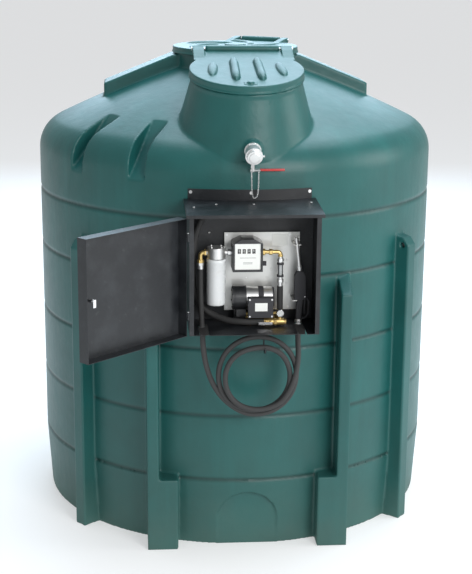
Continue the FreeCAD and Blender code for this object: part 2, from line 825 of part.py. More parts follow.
def cabinet_body():
    yb = back_y()
    side_back = wall_y(cab_half, wall_r) - 1.2
    side = [(cab_front, cab_low), (cab_front, roof_z(cab_front)),
            (side_back, roof_z(side_back)), (side_back, cab_low)]
    parts = [poly_x(side, cab_half - sheet, cab_half), poly_x(side, -cab_half, sheet - cab_half),
             box(sheet - cab_half, cab_half - sheet, yb - sheet, yb, cab_low, roof_z(yb) - 1),
             box(-cab_half, cab_half, cab_front, yb, cab_low, cab_low + sheet)]
    ftop = roof_z(cab_front) - roof_lip - 2
    parts.append(box(-cab_half, cab_flange - cab_half, cab_front, cab_front + sheet, cab_low, ftop))
    parts.append(box(cab_half - cab_flange, cab_half, cab_front, cab_front + sheet, cab_low, ftop))
    out = fused(*parts)
    for x0, x1, y1 in ((elbow_x - 14, elbow_x + 34, pipe_y - 22), (grip_x - 24, grip_x + 22, noz_y + 24)):
        out = out.cut(box(x0, x1, cab_front - 1, y1, cab_low - 1, cab_low + sheet + 1))
    for z in knuckle_z:
        tab = box(-cab_half - door_axis_out, -cab_half + 0.5, cab_front + 1, cab_front + 20,
                  z, z + knuckle_len / 2.0)
        out = out.fuse(tab).fuse(rod(V(-cab_half - door_axis_out, cab_front, z),
                                     V(-cab_half - door_axis_out, cab_front, z + knuckle_len / 2.0), knuckle_r))
        out = out.cut(rod(V(-cab_half - door_axis_out, cab_front, z - 1),
                          V(-cab_half - door_axis_out, cab_front, z + knuckle_len), door_pin_r + run))
    out = out.cut(rod(V(suction_exit.x, yb - 20, suction_exit.z), V(suction_exit.x, yb + 20, suction_exit.z),
                      dip_r + slit))
    for x, z in plate_corners():
        out = out.cut(rod(V(x, yb - 10, z), V(x, yb + 5, z), 3 + run))
    return out.fuse(hose_hook()).removeSplitter()


knuckle_z = [1330.0, 1720.0]


def cabinet_roof():
    yb = 100 - wall_r
    top = poly_x([(roof_front, roof_z(roof_front)), (yb, roof_z(yb)), (yb, roof_z(yb) + sheet),
                  (roof_front, roof_z(roof_front) + sheet)], -roof_half, roof_half)
    hem = box(-roof_half, roof_half, roof_front, roof_front + sheet, roof_low - roof_lip, roof_low + sheet)
    side = [(roof_front, roof_low - roof_lip), (roof_front, roof_low + sheet), (yb, roof_z(yb) + sheet),
            (yb, roof_z(yb) - roof_lip)]
    sides = [poly_x(side, roof_half - sheet, roof_half), poly_x(side, -roof_half, sheet - roof_half)]
    r = wall_r + slit
    z0 = roof_z(-wall_r)
    curved = Part.makeCylinder(r + 3, flange_top - z0, V(0, 0, z0)).common(
        box(-flange_half, flange_half, -wall_r - 20, 200 - wall_r, z0, flange_top))
    out = fused(top, hem, *sides).fuse(curved)
    out = out.cut(Part.makeCylinder(r, 400, V(0, 0, roof_z(-wall_r) - 60)))
    out = out.cut(Part.makeCompound(bolt_rods(3.0 + run, 30)))
    return out.removeSplitter()


def door_closed():
    x0, x1 = -cab_half, cab_half
    y1 = cab_front - sheet
    y0 = y1 - door_deep
    z0, z1 = cab_low, cab_low + door_h
    room = box(x0 + sheet, x1 - sheet, y0 + sheet, y1 + 1, z0 + sheet, z1 - sheet)
    tray = box(x0, x1, y0, y1, z0, z1).cut(room)
    ax = -cab_half - door_axis_out
    for z in knuckle_z:
        za, zb = z + knuckle_len / 2.0 + 0.3, z + knuckle_len
        tab = box(ax - 1, x0 + 0.5, cab_front - 24, cab_front - 1, za, zb)
        tray = tray.fuse(tab).fuse(rod(V(ax, cab_front, za), V(ax, cab_front, zb), knuckle_r))
        tray = tray.cut(rod(V(ax, cab_front, z - 1), V(ax, cab_front, zb + 1), door_pin_r + run))
    lock = lock_at()
    return tray.cut(rod(V(lock.x, y0 - 1, lock.z), V(lock.x, y0 + 10, lock.z), 9 + slit)).removeSplitter()


def lock_at():
    return V(cab_half - cab_flange - 14, cab_front, cab_low + door_h / 2.0)


def opened(shape):
    return turned(shape, V(-cab_half - door_axis_out, cab_front, 0), V(0, 0, 1), -door_open)


def door_pins():
    ax = -cab_half - door_axis_out
    out = []
    for z in knuckle_z:
        out.append(fused(rod(V(ax, cab_front, z), V(ax, cab_front, z + knuckle_len + 0.4), door_pin_r),
                         rod(V(ax, cab_front, z + knuckle_len + 0.4), V(ax, cab_front, z + knuckle_len + 3), knuckle_r)))
    return out


def door_lock():
    # lock cylinder through the panel
    p = lock_at()
    y0 = cab_front - sheet - door_deep
    out = fused(rod(V(p.x, y0, p.z), V(p.x, cab_front - 4, p.z), 9), rod(V(p.x, y0 - 3, p.z), V(p.x, y0, p.z), 13))
    return out.cut(rod(V(p.x, cab_front - 30, p.z), V(p.x, cab_front, p.z), 4 + run))


def lock_cam():
    # chrome cam that turns behind the cabinet's return flange
    p = lock_at()
    y = cab_front + sheet + 3
    return fused(rod(V(p.x, cab_front - 30, p.z), V(p.x, y, p.z), 4), box(p.x - 8, p.x + 8, y, y + 3, p.z - 28, p.z + 9))


# Equipment plate and its fastenings

def plate_corners():
    return [(plate_x0 + 12, plate_z0 + 14), (plate_x1 - 55, plate_z0 + 14), (plate_x0 + 12, plate_z1 - 12),
            (plate_x1 - 50, plate_z1 - 12)]


def equipment_plate():
    out = box(plate_x0, plate_x1, plate_y, plate_y + plate_t, plate_z0, plate_z1)
    for x, z in plate_corners():
        out = out.cut(rod(V(x, plate_y - 5, z), V(x, plate_y + 10, z), 3 + run))
    return out


def plate_spacers():
    yb = back_y() - sheet
    return [pipe(V(x, plate_y + plate_t, z), V(x, yb, z), 8, 3 + run) for x, z in plate_corners()]


def plate_screws():
    return [fused(rod(V(x, plate_y, z), V(x, back_y(), z), 3), rod(V(x, plate_y - 3, z), V(x, plate_y, z), 6))
            for x, z in plate_corners()]


def label_plate():
    return box(plate_x1 - 138, plate_x1 - 63, plate_y - 1, plate_y, plate_z1 - 69, plate_z1 - 11)


# Meter

def meter_body():
    c = meter_chamfer
    out = poly_y([(meter_x0, meter_z0), (meter_x1, meter_z0), (meter_x1, meter_z1 - c), (meter_x1 - 2 * c, meter_z1),
                  (meter_x0 + 2 * c, meter_z1), (meter_x0, meter_z1 - c)], meter_front, plate_y)
    out = out.cut(box(meter_x0 + face_inset, meter_x1 - face_inset,
                      meter_front - 1, meter_front + face_deep + face_t,
                      meter_z0 + face_inset, meter_z1 - face_inset - c / 2.0))
    y = face_back()
    span = wheel_pitch * 2
    out = out.cut(box(wheel_mid_x - span, wheel_mid_x + span, y - 1, y + 2 * wheel_r + 6, wheel_z - wheel_r - 3,
                      wheel_z + wheel_r + 3))
    end = span + 5
    out = out.fuse(rod(V(wheel_mid_x - end, wheel_y(), wheel_z), V(wheel_mid_x + end, wheel_y(), wheel_z),
                       wheel_shaft_r))
    out = out.cut(rod(V(meter_x1 - 20, knob_y, knob_z), V(meter_x1 + 1, knob_y, knob_z), 4 + run))
    return out.removeSplitter()


def face_back():
    return meter_front + face_deep + face_t


def wheel_y():
    return face_back() + 1 + wheel_r


def wheel_xs():
    return [wheel_mid_x + wheel_pitch * k for k in (1.5, 0.5, -0.5, -1.5)]


def meter_face():
    yb = face_back()
    out = box(meter_x0 + face_inset, meter_x1 - face_inset, yb - face_t, yb, meter_z0 + face_inset,
              meter_z1 - face_inset - meter_chamfer / 2.0)
    for x in wheel_xs():
        half = wheel_w / 2.0 + 1
        out = out.cut(box(x - half, x + half, yb - face_t - 1, yb + 1, wheel_z - 9, wheel_z + 9))
    return out


def meter_wheel(x):
    return pipe(V(x - wheel_w / 2.0, wheel_y(), wheel_z), V(x + wheel_w / 2.0, wheel_y(), wheel_z), wheel_r,
                wheel_shaft_r + run)


def meter_reset_knob():
    a = V(meter_x1 + 1, knob_y, knob_z)
    out = fused(rod(a, a + V(knob_len, 0, 0), knob_r), rod(a - V(18, 0, 0), a, 4))
    return out.cut(box(a.x + 6, a.x + knob_len + 1, knob_y - 20, knob_y - knob_r + 3, knob_z - 22, knob_z + 28))


def filter_nipple():
    x0 = filter_x + filter_port_half
    mid = V((x0 + meter_x0) / 2.0, pipe_y, port_axis_z)
    return fused(rod(V(x0, pipe_y, port_axis_z), V(meter_x0, pipe_y, port_axis_z), 11),
                 hexagon(mid - V(8, 0, 0), mid + V(8, 0, 0), 30))


def meter_elbow():
    a = (meter_x1, pipe_y, port_axis_z)
    out = swept([a, (riser_x, pipe_y, port_axis_z), (riser_x, pipe_y, riser_z[4])], 10, 16)
    return fused(out, hexagon(V(*a), V(meter_x1 + 14, pipe_y, port_axis_z), 30),
                 hexagon(V(meter_x1 + 34, pipe_y, port_axis_z), V(meter_x1 + 50, pipe_y, port_axis_z), 27),
                 rod(V(riser_x, pipe_y, riser_z[4]), V(riser_x, pipe_y, riser_z[4] + 8), 13))


# Filter

def filter_head():
    c = V(filter_x, pipe_y, 0)
    z = V(0, 0, 1)
    p = V(filter_x, pipe_y, port_axis_z)
    out = fused(rod(c + z * (can_z1 + 2), c + z * head_z1, head_r),
                rod(p - V(filter_port_half, 0, 0), p + V(filter_port_half, 0, 0), 15),
                rod(c + z * (can_z1 - 18), c + z * (can_z1 + 3), spigot_r),
                box(filter_x - 20, filter_x + 20, pipe_y, back_y() - sheet, port_axis_z - 12, port_axis_z + 12))
    for k in range(4):
        a = math.radians(45 + 90 * k)
        b = c + V(34 * math.cos(a), 34 * math.sin(a), head_z1 - 1)
        out = out.fuse(hexagon(b, b + z * 7, 10))
    return out.removeSplitter()


def filter_gasket():
    c = V(filter_x, pipe_y, 0)
    return pipe(c + V(0, 0, can_z1), c + V(0, 0, can_z1 + 2), 43, 37)


def filter_cartridge():
    c = V(filter_x, pipe_y, 0)
    out = rod(c + V(0, 0, can_z0), c + V(0, 0, can_z1), can_r)
    out = out.makeFillet(5, [e for e in out.Edges if abs(e.BoundBox.ZMax - can_z0) < 0.01])
    out = out.cut(rod(c + V(0, 0, can_z0 + can_t), c + V(0, 0, can_z1 - 4), can_r - can_t - 4))
    return out.cut(rod(c + V(0, 0, can_z1 - 10), c + V(0, 0, can_z1 + 1), spigot_r + run))


def delivery_elbow():
    x0 = filter_x - filter_port_half
    out = swept([(x0, pipe_y, port_axis_z), (elbow_x, pipe_y, port_axis_z), (elbow_x, pipe_y, elbow_z)], 11, 17)
    return fused(out, hexagon(V(x0, pipe_y, port_axis_z), V(x0 - 10, pipe_y, port_axis_z), 30),
                 hexagon(V(elbow_x, pipe_y, elbow_z), V(elbow_x, pipe_y, elbow_z + 15), 30))


def delivery_hose_tail():
    low, top = V(elbow_x, pipe_y, tail_z), V(elbow_x, pipe_y, elbow_z)
    nut = top - V(0, 0, 14)
    return fused(hexagon(nut, top, 30), rod(low, nut + V(0, 0, 1), 15))


# Riser from the pump to the meter

def at_riser(z):
    return V(riser_x, pipe_y, z)


def riser_union_top():
    z0, z1 = riser_z[3], riser_z[4]
    return fused(rod(at_riser(z0), at_riser(z1), 12), hexagon(at_riser(z0 + 6), at_riser(z0 + 22), 29))


def sight_glass_frame():
    z0, z1 = riser_z[2], riser_z[3]
    ring = 9.0
    out = fused(rod(at_riser(z0), at_riser(z0 + ring), sight_r), rod(at_riser(z1 - ring), at_riser(z1), sight_r))
    for k in range(4):
        a = math.radians(45 + 90 * k)
        o = V((sight_r - 3.2) * math.cos(a), (sight_r - 3.2) * math.sin(a), 0)
        out = out.fuse(rod(at_riser(z0 + 2) + o, at_riser(z1 - 2) + o, 2.2))
    return out.cut(rod(at_riser(z0 + 4), at_riser(z1 - 4), sight_glass_r + slit)).removeSplitter()


def sight_glass():
    z0, z1 = riser_z[2] + 4, riser_z[3] - 4
    return pipe(at_riser(z0), at_riser(z1), sight_glass_r, sight_glass_r - 2.5)


def riser_union_low():
    return fused(rod(at_riser(riser_z[1]), at_riser(riser_z[2]), 12),
                 hexagon(at_riser(riser_z[1] + 20), at_riser(riser_z[1] + 36), 29))


def riser_hose():
    return rod(at_riser(riser_z[0]), at_riser(riser_z[1]), riser_hose_r)


def riser_elbow():
    z = out_z - 14
    return fused(swept([(riser_x, pipe_y, riser_z[0]), (riser_x, pipe_y, z), (pump_x1, pipe_y, z)], 9, 9.5),
                 rod(at_riser(riser_z[0] - 6), at_riser(riser_z[0]), 14))


# Pump and motor

def pump_body():
    a, b = V(pump_x0, pump_y, pump_z), V(pump_x1, pump_y, pump_z)
    foot = box(pump_x0, pump_x1, pump_y, plate_y, pump_z - 30, pump_z + 30)
    lug = box(pump_x0, pump_x1, pump_y + 10, plate_y - 5, low_z - 15, pump_z - 30)
    out_lug = box(pump_x0 + 10, pump_x1, pipe_y - 13, pipe_y + 30, out_z - 27, pump_z - 40)
    out = fused(rod(a, b, pump_r), foot, lug, out_lug)
    out = out.cut(rod(a - V(1, 0, 0), b - V(10, 0, 0), rotor_bore))
    return out.cut(rod(a, b + V(1, 0, 0), shaft_r + run)).removeSplitter()


def pump_cover():
    a = V(pump_x0 - 8, pump_y, pump_z)
    out = rod(a, V(pump_x0, pump_y, pump_z), pump_r)
    for k in range(6):
        g = math.radians(60 * k + 30)
        o = V(0, 50 * math.cos(g), 50 * math.sin(g))
        out = out.fuse(hexagon(a + o - V(4, 0, 0), a + o, 8))
    return out.removeSplitter()


def pump_rotor():
    a, b = V(pump_x0 + 1, pump_y, pump_z), V(pump_x1 - 11, pump_y, pump_z)
    out = rod(a, b, rotor_r).fuse(rod(b, V(pump_x1 + 22, pump_y, pump_z), shaft_r))
    for k in range(5):
        slot = box(a.x - 1, b.x + 0.5, pump_y - 1.5, pump_y + 1.5, pump_z + rotor_r - 12, pump_z + rotor_r + 2)
        out = out.cut(turned(slot, V(0, pump_y, pump_z), V(1, 0, 0), 72 * k))
    return out


def motor_body():
    a, b = V(pump_x1, pump_y, pump_z), V(motor_x1, pump_y, pump_z)
    feet = [box(x, x + 16, pump_y, plate_y, pump_z - 34, pump_z + 34) for x in (pump_x1 + 14, motor_x1 - 30)]
    out = fused(rod(a, b, motor_r), *feet)
    return out.cut(rod(a - V(1, 0, 0), a + V(24, 0, 0), shaft_r + run))


def motor_strap():
    x = motor_x1 - 70
    out = pipe(V(x, pump_y, pump_z), V(x + 26, pump_y, pump_z), motor_r + 2.5, motor_r + slit)
    return out.cut(box(x - 1, x + 27, pump_y - 70, pump_y + 70, pump_z - 70, pump_z))


def motor_end_cap():
    out = rod(V(motor_x1, pump_y, pump_z), V(motor_x1 + 10, pump_y, pump_z), motor_r - 2)
    return out.makeFillet(4, [e for e in out.Edges if e.BoundBox.XMin > motor_x1 + 9])


def terminal_box():
    back = pump_y - motor_r - slit
    out = box(box_x0, box_x1, box_front + 6, back, box_z0, box_z1)
    foot = box(box_x0 + 10, box_x1 - 10, back - 1, pump_y - 20, pump_z - 12, box_z1 - 4)
    out = out.fuse(foot).cut(rod(V(box_x0 - 5, pump_y, pump_z), V(box_x1 + 5, pump_y, pump_z), motor_r + 2.5 + slit))
    out = out.cut(box(box_x0 + 3, box_x1 - 3, box_front, back - 3, box_z0 + 3, box_z1 - 3))
    post = [rod(V(x, box_front + 6, z), V(x, back - 2, z), 5) for x, z in box_corners()]
    out = fused(out, *post)
    for x, z in box_corners():
        out = out.cut(rod(V(x, box_front, z), V(x, box_front + 16, z), 2 + run))
    sw = switch_at()
    out = out.cut(box(box_x0 - 1, box_x0 + 4, sw.y - 7, sw.y + 7, sw.z - 11, sw.z + 11))
    return out.removeSplitter()


def box_corners():
    return [(x, z) for x in (box_x0 + 7, box_x1 - 7) for z in (box_z0 + 7, box_z1 - 7)]


def switch_at():
    return V(box_x0, (box_front + 6 + pump_y - motor_r) / 2.0 + 1, box_z0 + 62)


def terminal_cover():
    out = box(box_x0, box_x1, box_front, box_front + 6, box_z0, box_z1)
    for x, z in box_corners():
        out = out.cut(rod(V(x, box_front - 1, z), V(x, box_front + 7, z), 2 + run))
    return out


def terminal_screws():
    return [fused(rod(V(x, box_front - 2, z), V(x, box_front, z), 4.5), rod(V(x, box_front, z), V(x, box_front + 14, z), 2))
            for x, z in box_corners()]


def rating_plate():
    return box(box_x0 + 33, box_x1 - 29, box_front - 0.8, box_front, box_z0 + 34, box_z0 + 76)


def pump_switch():
    # rocker in the side of the terminal box, turning about a pin along Y
    p = switch_at()
    out = rod(V(p.x - 1.0, p.y - 6.5, p.z), V(p.x - 1.0, p.y + 6.5, p.z), 4.0)
    return out.fuse(poly_y([(p.x - 3, p.z - 9), (p.x - 5, p.z - 9), (p.x - 4, p.z), (p.x - 7, p.z + 9), (p.x - 4, p.z + 9),
                            (p.x - 1, p.z)], p.y - 6.5, p.y + 6.5)).cut(
        rod(V(p.x - 1.0, p.y - 9, p.z), V(p.x - 1.0, p.y + 9, p.z), 1 + run)).removeSplitter()


def switch_pin():
    p = switch_at()
    return rod(V(p.x - 1.0, p.y - 7, p.z), V(p.x - 1.0, p.y + 7, p.z), 1)


# Suction side

def suction_hose():
    yb = back_y() - sheet
    x = suction_exit.x
    z = suction_exit.z
    pts = [(x, yb - 18, z), (x, plate_y - 30, z), (x - 35, plate_y - 32, 1690), (x - 44, plate_y - 26, 1560),
           (x - 44, plate_y - 24, 1430), (x - 16, plate_y - 28, 1345), (x + 50, plate_y - 40, 1290),
           (pump_x0 - 24, low_y + 33, 1270), (pump_x0 + 46, low_y, low_z), (valve_x0, low_y, low_z)]
    return swept(pts, suction_r, None, suction_r - 4)


def suction_bulkhead():
    yb = back_y() - sheet
    p = V(suction_exit.x, yb, suction_exit.z)
    return hexagon(p, p - V(0, 18, 0), 38).cut(rod(p + V(0, 1, 0), p - V(0, 12, 0), dip_r + slit))


def valve_mid():
    return V((valve_x0 + valve_x1) / 2.0, low_y, low_z)


def suction_valve_body():
    a, b = V(valve_x0, low_y, low_z), V(valve_x1, low_y, low_z)
    m = valve_mid()
    x = V(1, 0, 0)
    out = fused(rod(a, b, 15), rod(m - x * 14, m + x * 14, valve_r),
                hexagon(a, a + x * 13, 34), hexagon(b - x * 13, b, 34),
                rod(m, m - V(0, valve_r + 7, 0), 8))
    out = out.cut(Part.makeSphere(valve_ball_r + run, m)).cut(rod(a - x, b + x, 8))
    return out.cut(rod(m, m - V(0, 40, 0), 4 + run))


def suction_valve_lever():
    # ball, stem and handle turn together
    m = valve_mid()
    f = V(0, -1, 0)
    ball = Part.makeSphere(valve_ball_r, m).cut(rod(m - V(30, 0, 0), m + V(30, 0, 0), 7.5))
    stem = rod(m + f * (valve_ball_r - 2), m + f * (valve_stem + 4), 4)
    y1 = low_y - valve_stem + 1.5
    grip = box(m.x - valve_lever_len, m.x + 9, y1 - 3, y1, low_z - 7, low_z + 7)
    return fused(ball, stem, grip)


def suction_tee():
    m = V(tee_x, low_y, low_z)
    out = fused(rod(V(valve_x1, low_y, low_z), V(tee_x + 20, low_y, low_z), valve_r),
                rod(m, V(tee_x, low_y + 24, low_z), 15), rod(m, m + V(0, 0, 24), 10),
                hexagon(V(tee_x + 20, low_y, low_z), V(tee_x + 30, low_y, low_z), 24))
    return out


def inlet_pipe():
    return swept([(tee_x, low_y + 24, low_z), (tee_x, inlet_y, low_z), (pump_x1, inlet_y, low_z)], 11, 22)


def pressure_gauge():
    c = V(tee_x, low_y, gauge_z)
    f = V(0, -1, 0)
    neck = rod(V(tee_x, low_y - 4, low_z + 24), V(tee_x, low_y - 4, gauge_z), 4)
    out = fused(rod(c, c + f * gauge_deep, gauge_r), neck)
    out = out.cut(rod(c + f * (gauge_deep - 4), c + f * (gauge_deep + 1), gauge_r - 2))
    return out.cut(rod(c + f * (gauge_deep - 8), c + f * gauge_deep, 1 + run))


def gauge_needle():
    c = V(tee_x, low_y, gauge_z)
    f = V(0, -1, 0)
    y = low_y - gauge_deep + 2.2
    bar = box(tee_x - 0.7, tee_x + 0.7, y, y + 0.7, gauge_z - 4, gauge_z + 12)
    return fused(turned(bar, c, V(0, 1, 0), -135), rod(c + f * (gauge_deep - 7.8), c + f * (gauge_deep - 2.0), 1))


def gauge_glass():
    c = V(tee_x, low_y, gauge_z)
    f = V(0, -1, 0)
    return rod(c + f * (gauge_deep - 1.2), c + f * gauge_deep, gauge_r - 2 - slit / 3)


# Nozzle and its holder

def nozzle_body():
    y0, y1 = noz_y - noz_t / 2.0, noz_y + noz_t / 2.0
    g, top, low = grip_x, noz_z1, noz_z0
    body = poly_y([(g - 22, low), (g - 22, top - 25), (g - 10, top), (g + 18, top), (g + 32, top - 23),
                   (g + 36, low + 28), (g + 36, low + 6), (g + 22, low)], y0, y1)
    grip = poly_y([(g - 8, low + 1), (g + 20, low + 1), (g + 13, grip_z), (g - 13, grip_z)], y0 + 2, y1 - 2)
    guard = poly_y([(g + 28, low + 8), (g + 42, low + 8), (g + 54, low - 10), (g + 52, grip_z + 24), (g + 36, grip_z + 2),
                    (g + 10, grip_z), (g + 10, grip_z + 6), (g + 33, grip_z + 8), (g + 46, grip_z + 26), (g + 48, low - 12),
                    (g + 39, low + 2), (g + 28, low + 2)], noz_y - 10, noz_y + 10)
    out = fused(body, grip, guard)
    slot = box(g + 22, g + 64, noz_y - 9, noz_y + 9, low - 6, low + 26)
    out = out.cut(slot.cut(box(g + 38.5, g + 64, noz_y - 12, noz_y + 12, grip_z + 24, low + 26)))
    out = out.cut(rod(V(trigger_x, y0 - 1, trigger_z), V(trigger_x, y1 + 1, trigger_z), 2.5 + run))
    return out.removeSplitter()


def trigger_pin():
    return rod(V(trigger_x, noz_y - noz_t / 2.0, trigger_z), V(trigger_x, noz_y + noz_t / 2.0, trigger_z), 2.5)


def nozzle_trigger():
    w = 8.0
    out = fused(rod(V(trigger_x, noz_y - w, trigger_z), V(trigger_x, noz_y + w, trigger_z), 6),
                poly_y([(trigger_x - 4, trigger_z), (trigger_x + 4, trigger_z), (trigger_x + 3, grip_z + 24), (trigger_x - 3, grip_z + 24)],
                       noz_y - w, noz_y + w))
    return out.cut(rod(V(trigger_x, noz_y - 30, trigger_z), V(trigger_x, noz_y + 30, trigger_z), 2.5 + run))


def nozzle_spout():
    u = V(spout_tip - spout_base).normalize()
    return fused(rod(spout_base, spout_tip, spout_r), rod(spout_base, spout_base + u * 24, 13)).cut(
        rod(spout_base + u * 40, spout_tip + u, spout_r - 1.5)).cut(
        box(grip_x - 56, grip_x + 64, noz_y - 30, noz_y + 30, spout_base.z - 30, spout_base.z))


def nozzle_swivel():
    low, top = V(grip_x, noz_y, swivel_z), V(grip_x, noz_y, grip_z)
    return fused(rod(low, top, 14), hexagon(top - V(0, 0, 18), top - V(0, 0, 6), 31))


def nozzle_holster():
    z = holster_z
    k = (z + 2 - spout_base.z) / (spout_tip.z - spout_base.z)
    c = spout_base + (spout_tip - spout_base) * k
    arm = box(c.x - 19, c.x + 19, noz_y - 16, plate_y - 1.8, z, z + 4)
    back = box(c.x - 19, c.x + 19, plate_y - 2, plate_y, z, z + 44)
    return fused(arm, back).cut(rod(V(c.x, c.y, z - 5), V(c.x, c.y, z + 10), spout_r + 1.2))


def nozzle_shelf():
    z = noz_z0
    x0 = grip_x - 32
    tread = box(x0, plate_x1, noz_y - 22, plate_y - 1.8, z - 4, z)
    out = fused(tread, box(x0, plate_x1, plate_y - 2, plate_y, z - 40, z))
    return out.cut(box(grip_x - 9, plate_x1 + 1, noz_y - 23, noz_y + 20, z - 5, z + 1))


# Delivery hose

def hose_lead_in():
    return swept(lead_in, hose_r)


def hose_lead_out():
    return swept(lead_out, hose_r)


def hose_coil():
    # the wound turns as one ring of their outer shape
    c0 = V(coil_cx, coil_y - coil_fore, coil_cz)
    c1 = V(coil_cx, coil_y + coil_back, coil_cz)
    ring = rod(c0, c1, coil_out).cut(rod(c0 - V(0, 1, 0), c1 + V(0, 1, 0), coil_in))
    trim = lead_clear(lead_in).fuse(lead_clear(lead_out))
    return ring.cut(trim)


def lead_clear(points):
    return swept(points, hose_r + slit)


def hose_hook():
    x = coil_cx + 38
    rod_r = 4.0
    z = coil_cz + math.sqrt(coil_in ** 2 - (x - coil_cx) ** 2) - rod_r - slit / 2.0
    back, front = coil_y + coil_back + 12, coil_y - coil_fore - 9
    return swept([(x, back, cab_low), (x, back, z), (x, front, z), (x, front, z + 28)], rod_r, 10)


def build():
    os.makedirs("parts", exist_ok=True)
    front_pin = on_front(lid_pin(front_lid_r, front_pin_half, front_horn_w))
    centre_pin = on_centre(lid_pin(centre_lid_r, centre_pin_half, centre_horn_w))
    save("bund_shell", bund_shell())
    save("inner_tank", inner_tank())
    save("inner_manway_cap", inner_manway_cap())
    save("port_plate", port_plate())
    save("fill_pipe", fill_pipe())
    save("suction_line", suction_line())
    save("front_lid", front_lid())
    save("centre_lid", centre_lid())
    lid_gaskets = [on_front(lid_gasket_ring(front_lid_r)), on_centre(lid_gasket_ring(centre_lid_r))]
    save("gaskets", lid_gaskets + [filter_gasket()])
    save("hinge_pins", [front_pin, centre_pin, trigger_pin(), switch_pin()] + door_pins())
    save("fill_valve_body", fill_valve_body())
    save("fill_valve_lever", fill_valve_lever())
    save("fill_fittings", [fill_flange(), fill_collar()])
    save("fill_cap", fill_cap())
    save("cap_chain", [cap_ring(), cap_chain()])
    save("cabinet_body", cabinet_body())
    save("cabinet_roof", cabinet_roof())
    save("fixings", cabinet_bolts() + roof_screws() + plate_screws() + terminal_screws())
    save("door", opened(door_closed()))
    save("door_lock", opened(door_lock()))
    save("lock_cam", opened(lock_cam()))
    save("equipment_plate", equipment_plate())
    save("plate_spacers", plate_spacers())
    save("meter_body", meter_body())
    save("meter_face", meter_face())
    for name, x in zip(("ones", "tens", "hundreds", "thousands"), wheel_xs()):
        save("meter_wheel_" + name, meter_wheel(x))
    save("meter_reset_knob", meter_reset_knob())
    save("zinc_unions", [filter_nipple(), riser_union_top(), riser_union_low()])
    save("brass_elbows", [meter_elbow(), delivery_elbow()])
    save("filter_head", filter_head())
    save("filter_cartridge", filter_cartridge())
    save("hose_tails", [delivery_hose_tail(), nozzle_swivel()])
    save("sight_glass_frame", sight_glass_frame())
    save("glasses", [sight_glass(), gauge_glass()])
    save("riser_hose", riser_hose())
    save("pump_pipes", [riser_elbow(), inlet_pipe(), suction_tee(), suction_bulkhead()])
    save("pump_body", pump_body())
    save("pump_cover", pump_cover())
    save("pump_rotor", pump_rotor())
    save("motor_body", motor_body())
    save("motor_trim", [motor_strap(), motor_end_cap()])
    save("terminal_box", terminal_box())
    save("terminal_cover", terminal_cover())
    save("blank_plates", [label_plate(), rating_plate()])
    save("pump_switch", pump_switch())
    save("suction_hose", suction_hose())
    save("suction_valve_body", suction_valve_body())
    save("suction_valve_lever", suction_valve_lever())
    save("pressure_gauge", pressure_gauge())
    save("gauge_needle", gauge_needle())
    save("nozzle_body", nozzle_body())
    save("nozzle_spout", nozzle_spout())
    save("nozzle_trigger", nozzle_trigger())
    save("nozzle_holder", [nozzle_holster(), nozzle_shelf()])
    save("hose_lead_in", hose_lead_in())
    save("hose_coil", hose_coil())
    save("hose_lead_out", hose_lead_out())


if __name__ == "__main__":
    build()
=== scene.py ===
# Diesel dispensing tank dressed for rendering. Metres, +Z up, front is -Y, the same frame as the solids.
import bpy, bmesh
import json, math
from mathutils import Vector, Matrix, Euler
from bpy.props import FloatProperty, FloatVectorProperty, PointerProperty


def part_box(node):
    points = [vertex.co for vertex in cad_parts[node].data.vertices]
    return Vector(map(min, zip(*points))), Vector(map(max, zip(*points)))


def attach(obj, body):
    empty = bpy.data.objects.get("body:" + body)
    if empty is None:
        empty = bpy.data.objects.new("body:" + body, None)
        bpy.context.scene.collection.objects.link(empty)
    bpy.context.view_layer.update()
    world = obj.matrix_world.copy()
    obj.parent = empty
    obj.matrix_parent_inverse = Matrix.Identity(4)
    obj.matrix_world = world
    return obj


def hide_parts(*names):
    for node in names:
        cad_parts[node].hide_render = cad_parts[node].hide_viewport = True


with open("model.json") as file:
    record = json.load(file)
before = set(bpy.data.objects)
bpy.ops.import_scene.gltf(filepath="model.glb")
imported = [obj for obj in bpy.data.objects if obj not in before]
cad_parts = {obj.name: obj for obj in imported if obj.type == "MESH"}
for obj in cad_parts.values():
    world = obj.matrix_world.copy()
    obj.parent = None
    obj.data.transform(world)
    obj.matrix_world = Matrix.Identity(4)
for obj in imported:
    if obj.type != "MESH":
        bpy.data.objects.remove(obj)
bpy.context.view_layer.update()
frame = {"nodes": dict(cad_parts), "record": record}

bl_info = {
    "name": "Diesel dispensing tank",
    "version": (1, 0, 0),
    "blender": (4, 5, 0),
    "location": "3D View > Sidebar > Tank",
    "description": "Dresses the solids of a bunded diesel tank with its finishes, hose and fittings",
    "category": "Add Mesh",
}

MM = 0.001
FRONT = Vector((0, -1, 0))


def tint(red, green, blue):
    """A screen colour, 0 to 255, as the linear numbers that a shader takes."""
    out = []
    for value in (red, green, blue):
        c = value / 255
        out.append(c / 12.92 if c <= 0.04045 else ((c + 0.055) / 1.055) ** 2.4)
    return tuple(out)


# Node trees written as sums

class Plug:
    """One output of a node tree, which takes part in sums."""

    def __init__(self, net, socket):
        self.net, self.socket = net, socket

    def _math(self, other, operation, swap=False):
        first, second = (other, self) if swap else (self, other)
        return self.net.node("ShaderNodeMath", {"operation": operation}, {0: first, 1: second})

    def __add__(self, other):
        return self._math(other, "ADD")

    def __radd__(self, other):
        return self._math(other, "ADD", True)

    def __sub__(self, other):
        return self._math(other, "SUBTRACT")

    def __rsub__(self, other):
        return self._math(other, "SUBTRACT", True)

    def __mul__(self, other):
        return self._math(other, "MULTIPLY")

    def __rmul__(self, other):
        return self._math(other, "MULTIPLY", True)

    def __truediv__(self, other):
        return self._math(other, "DIVIDE")

    def __pow__(self, other):
        return self._math(other, "POWER")


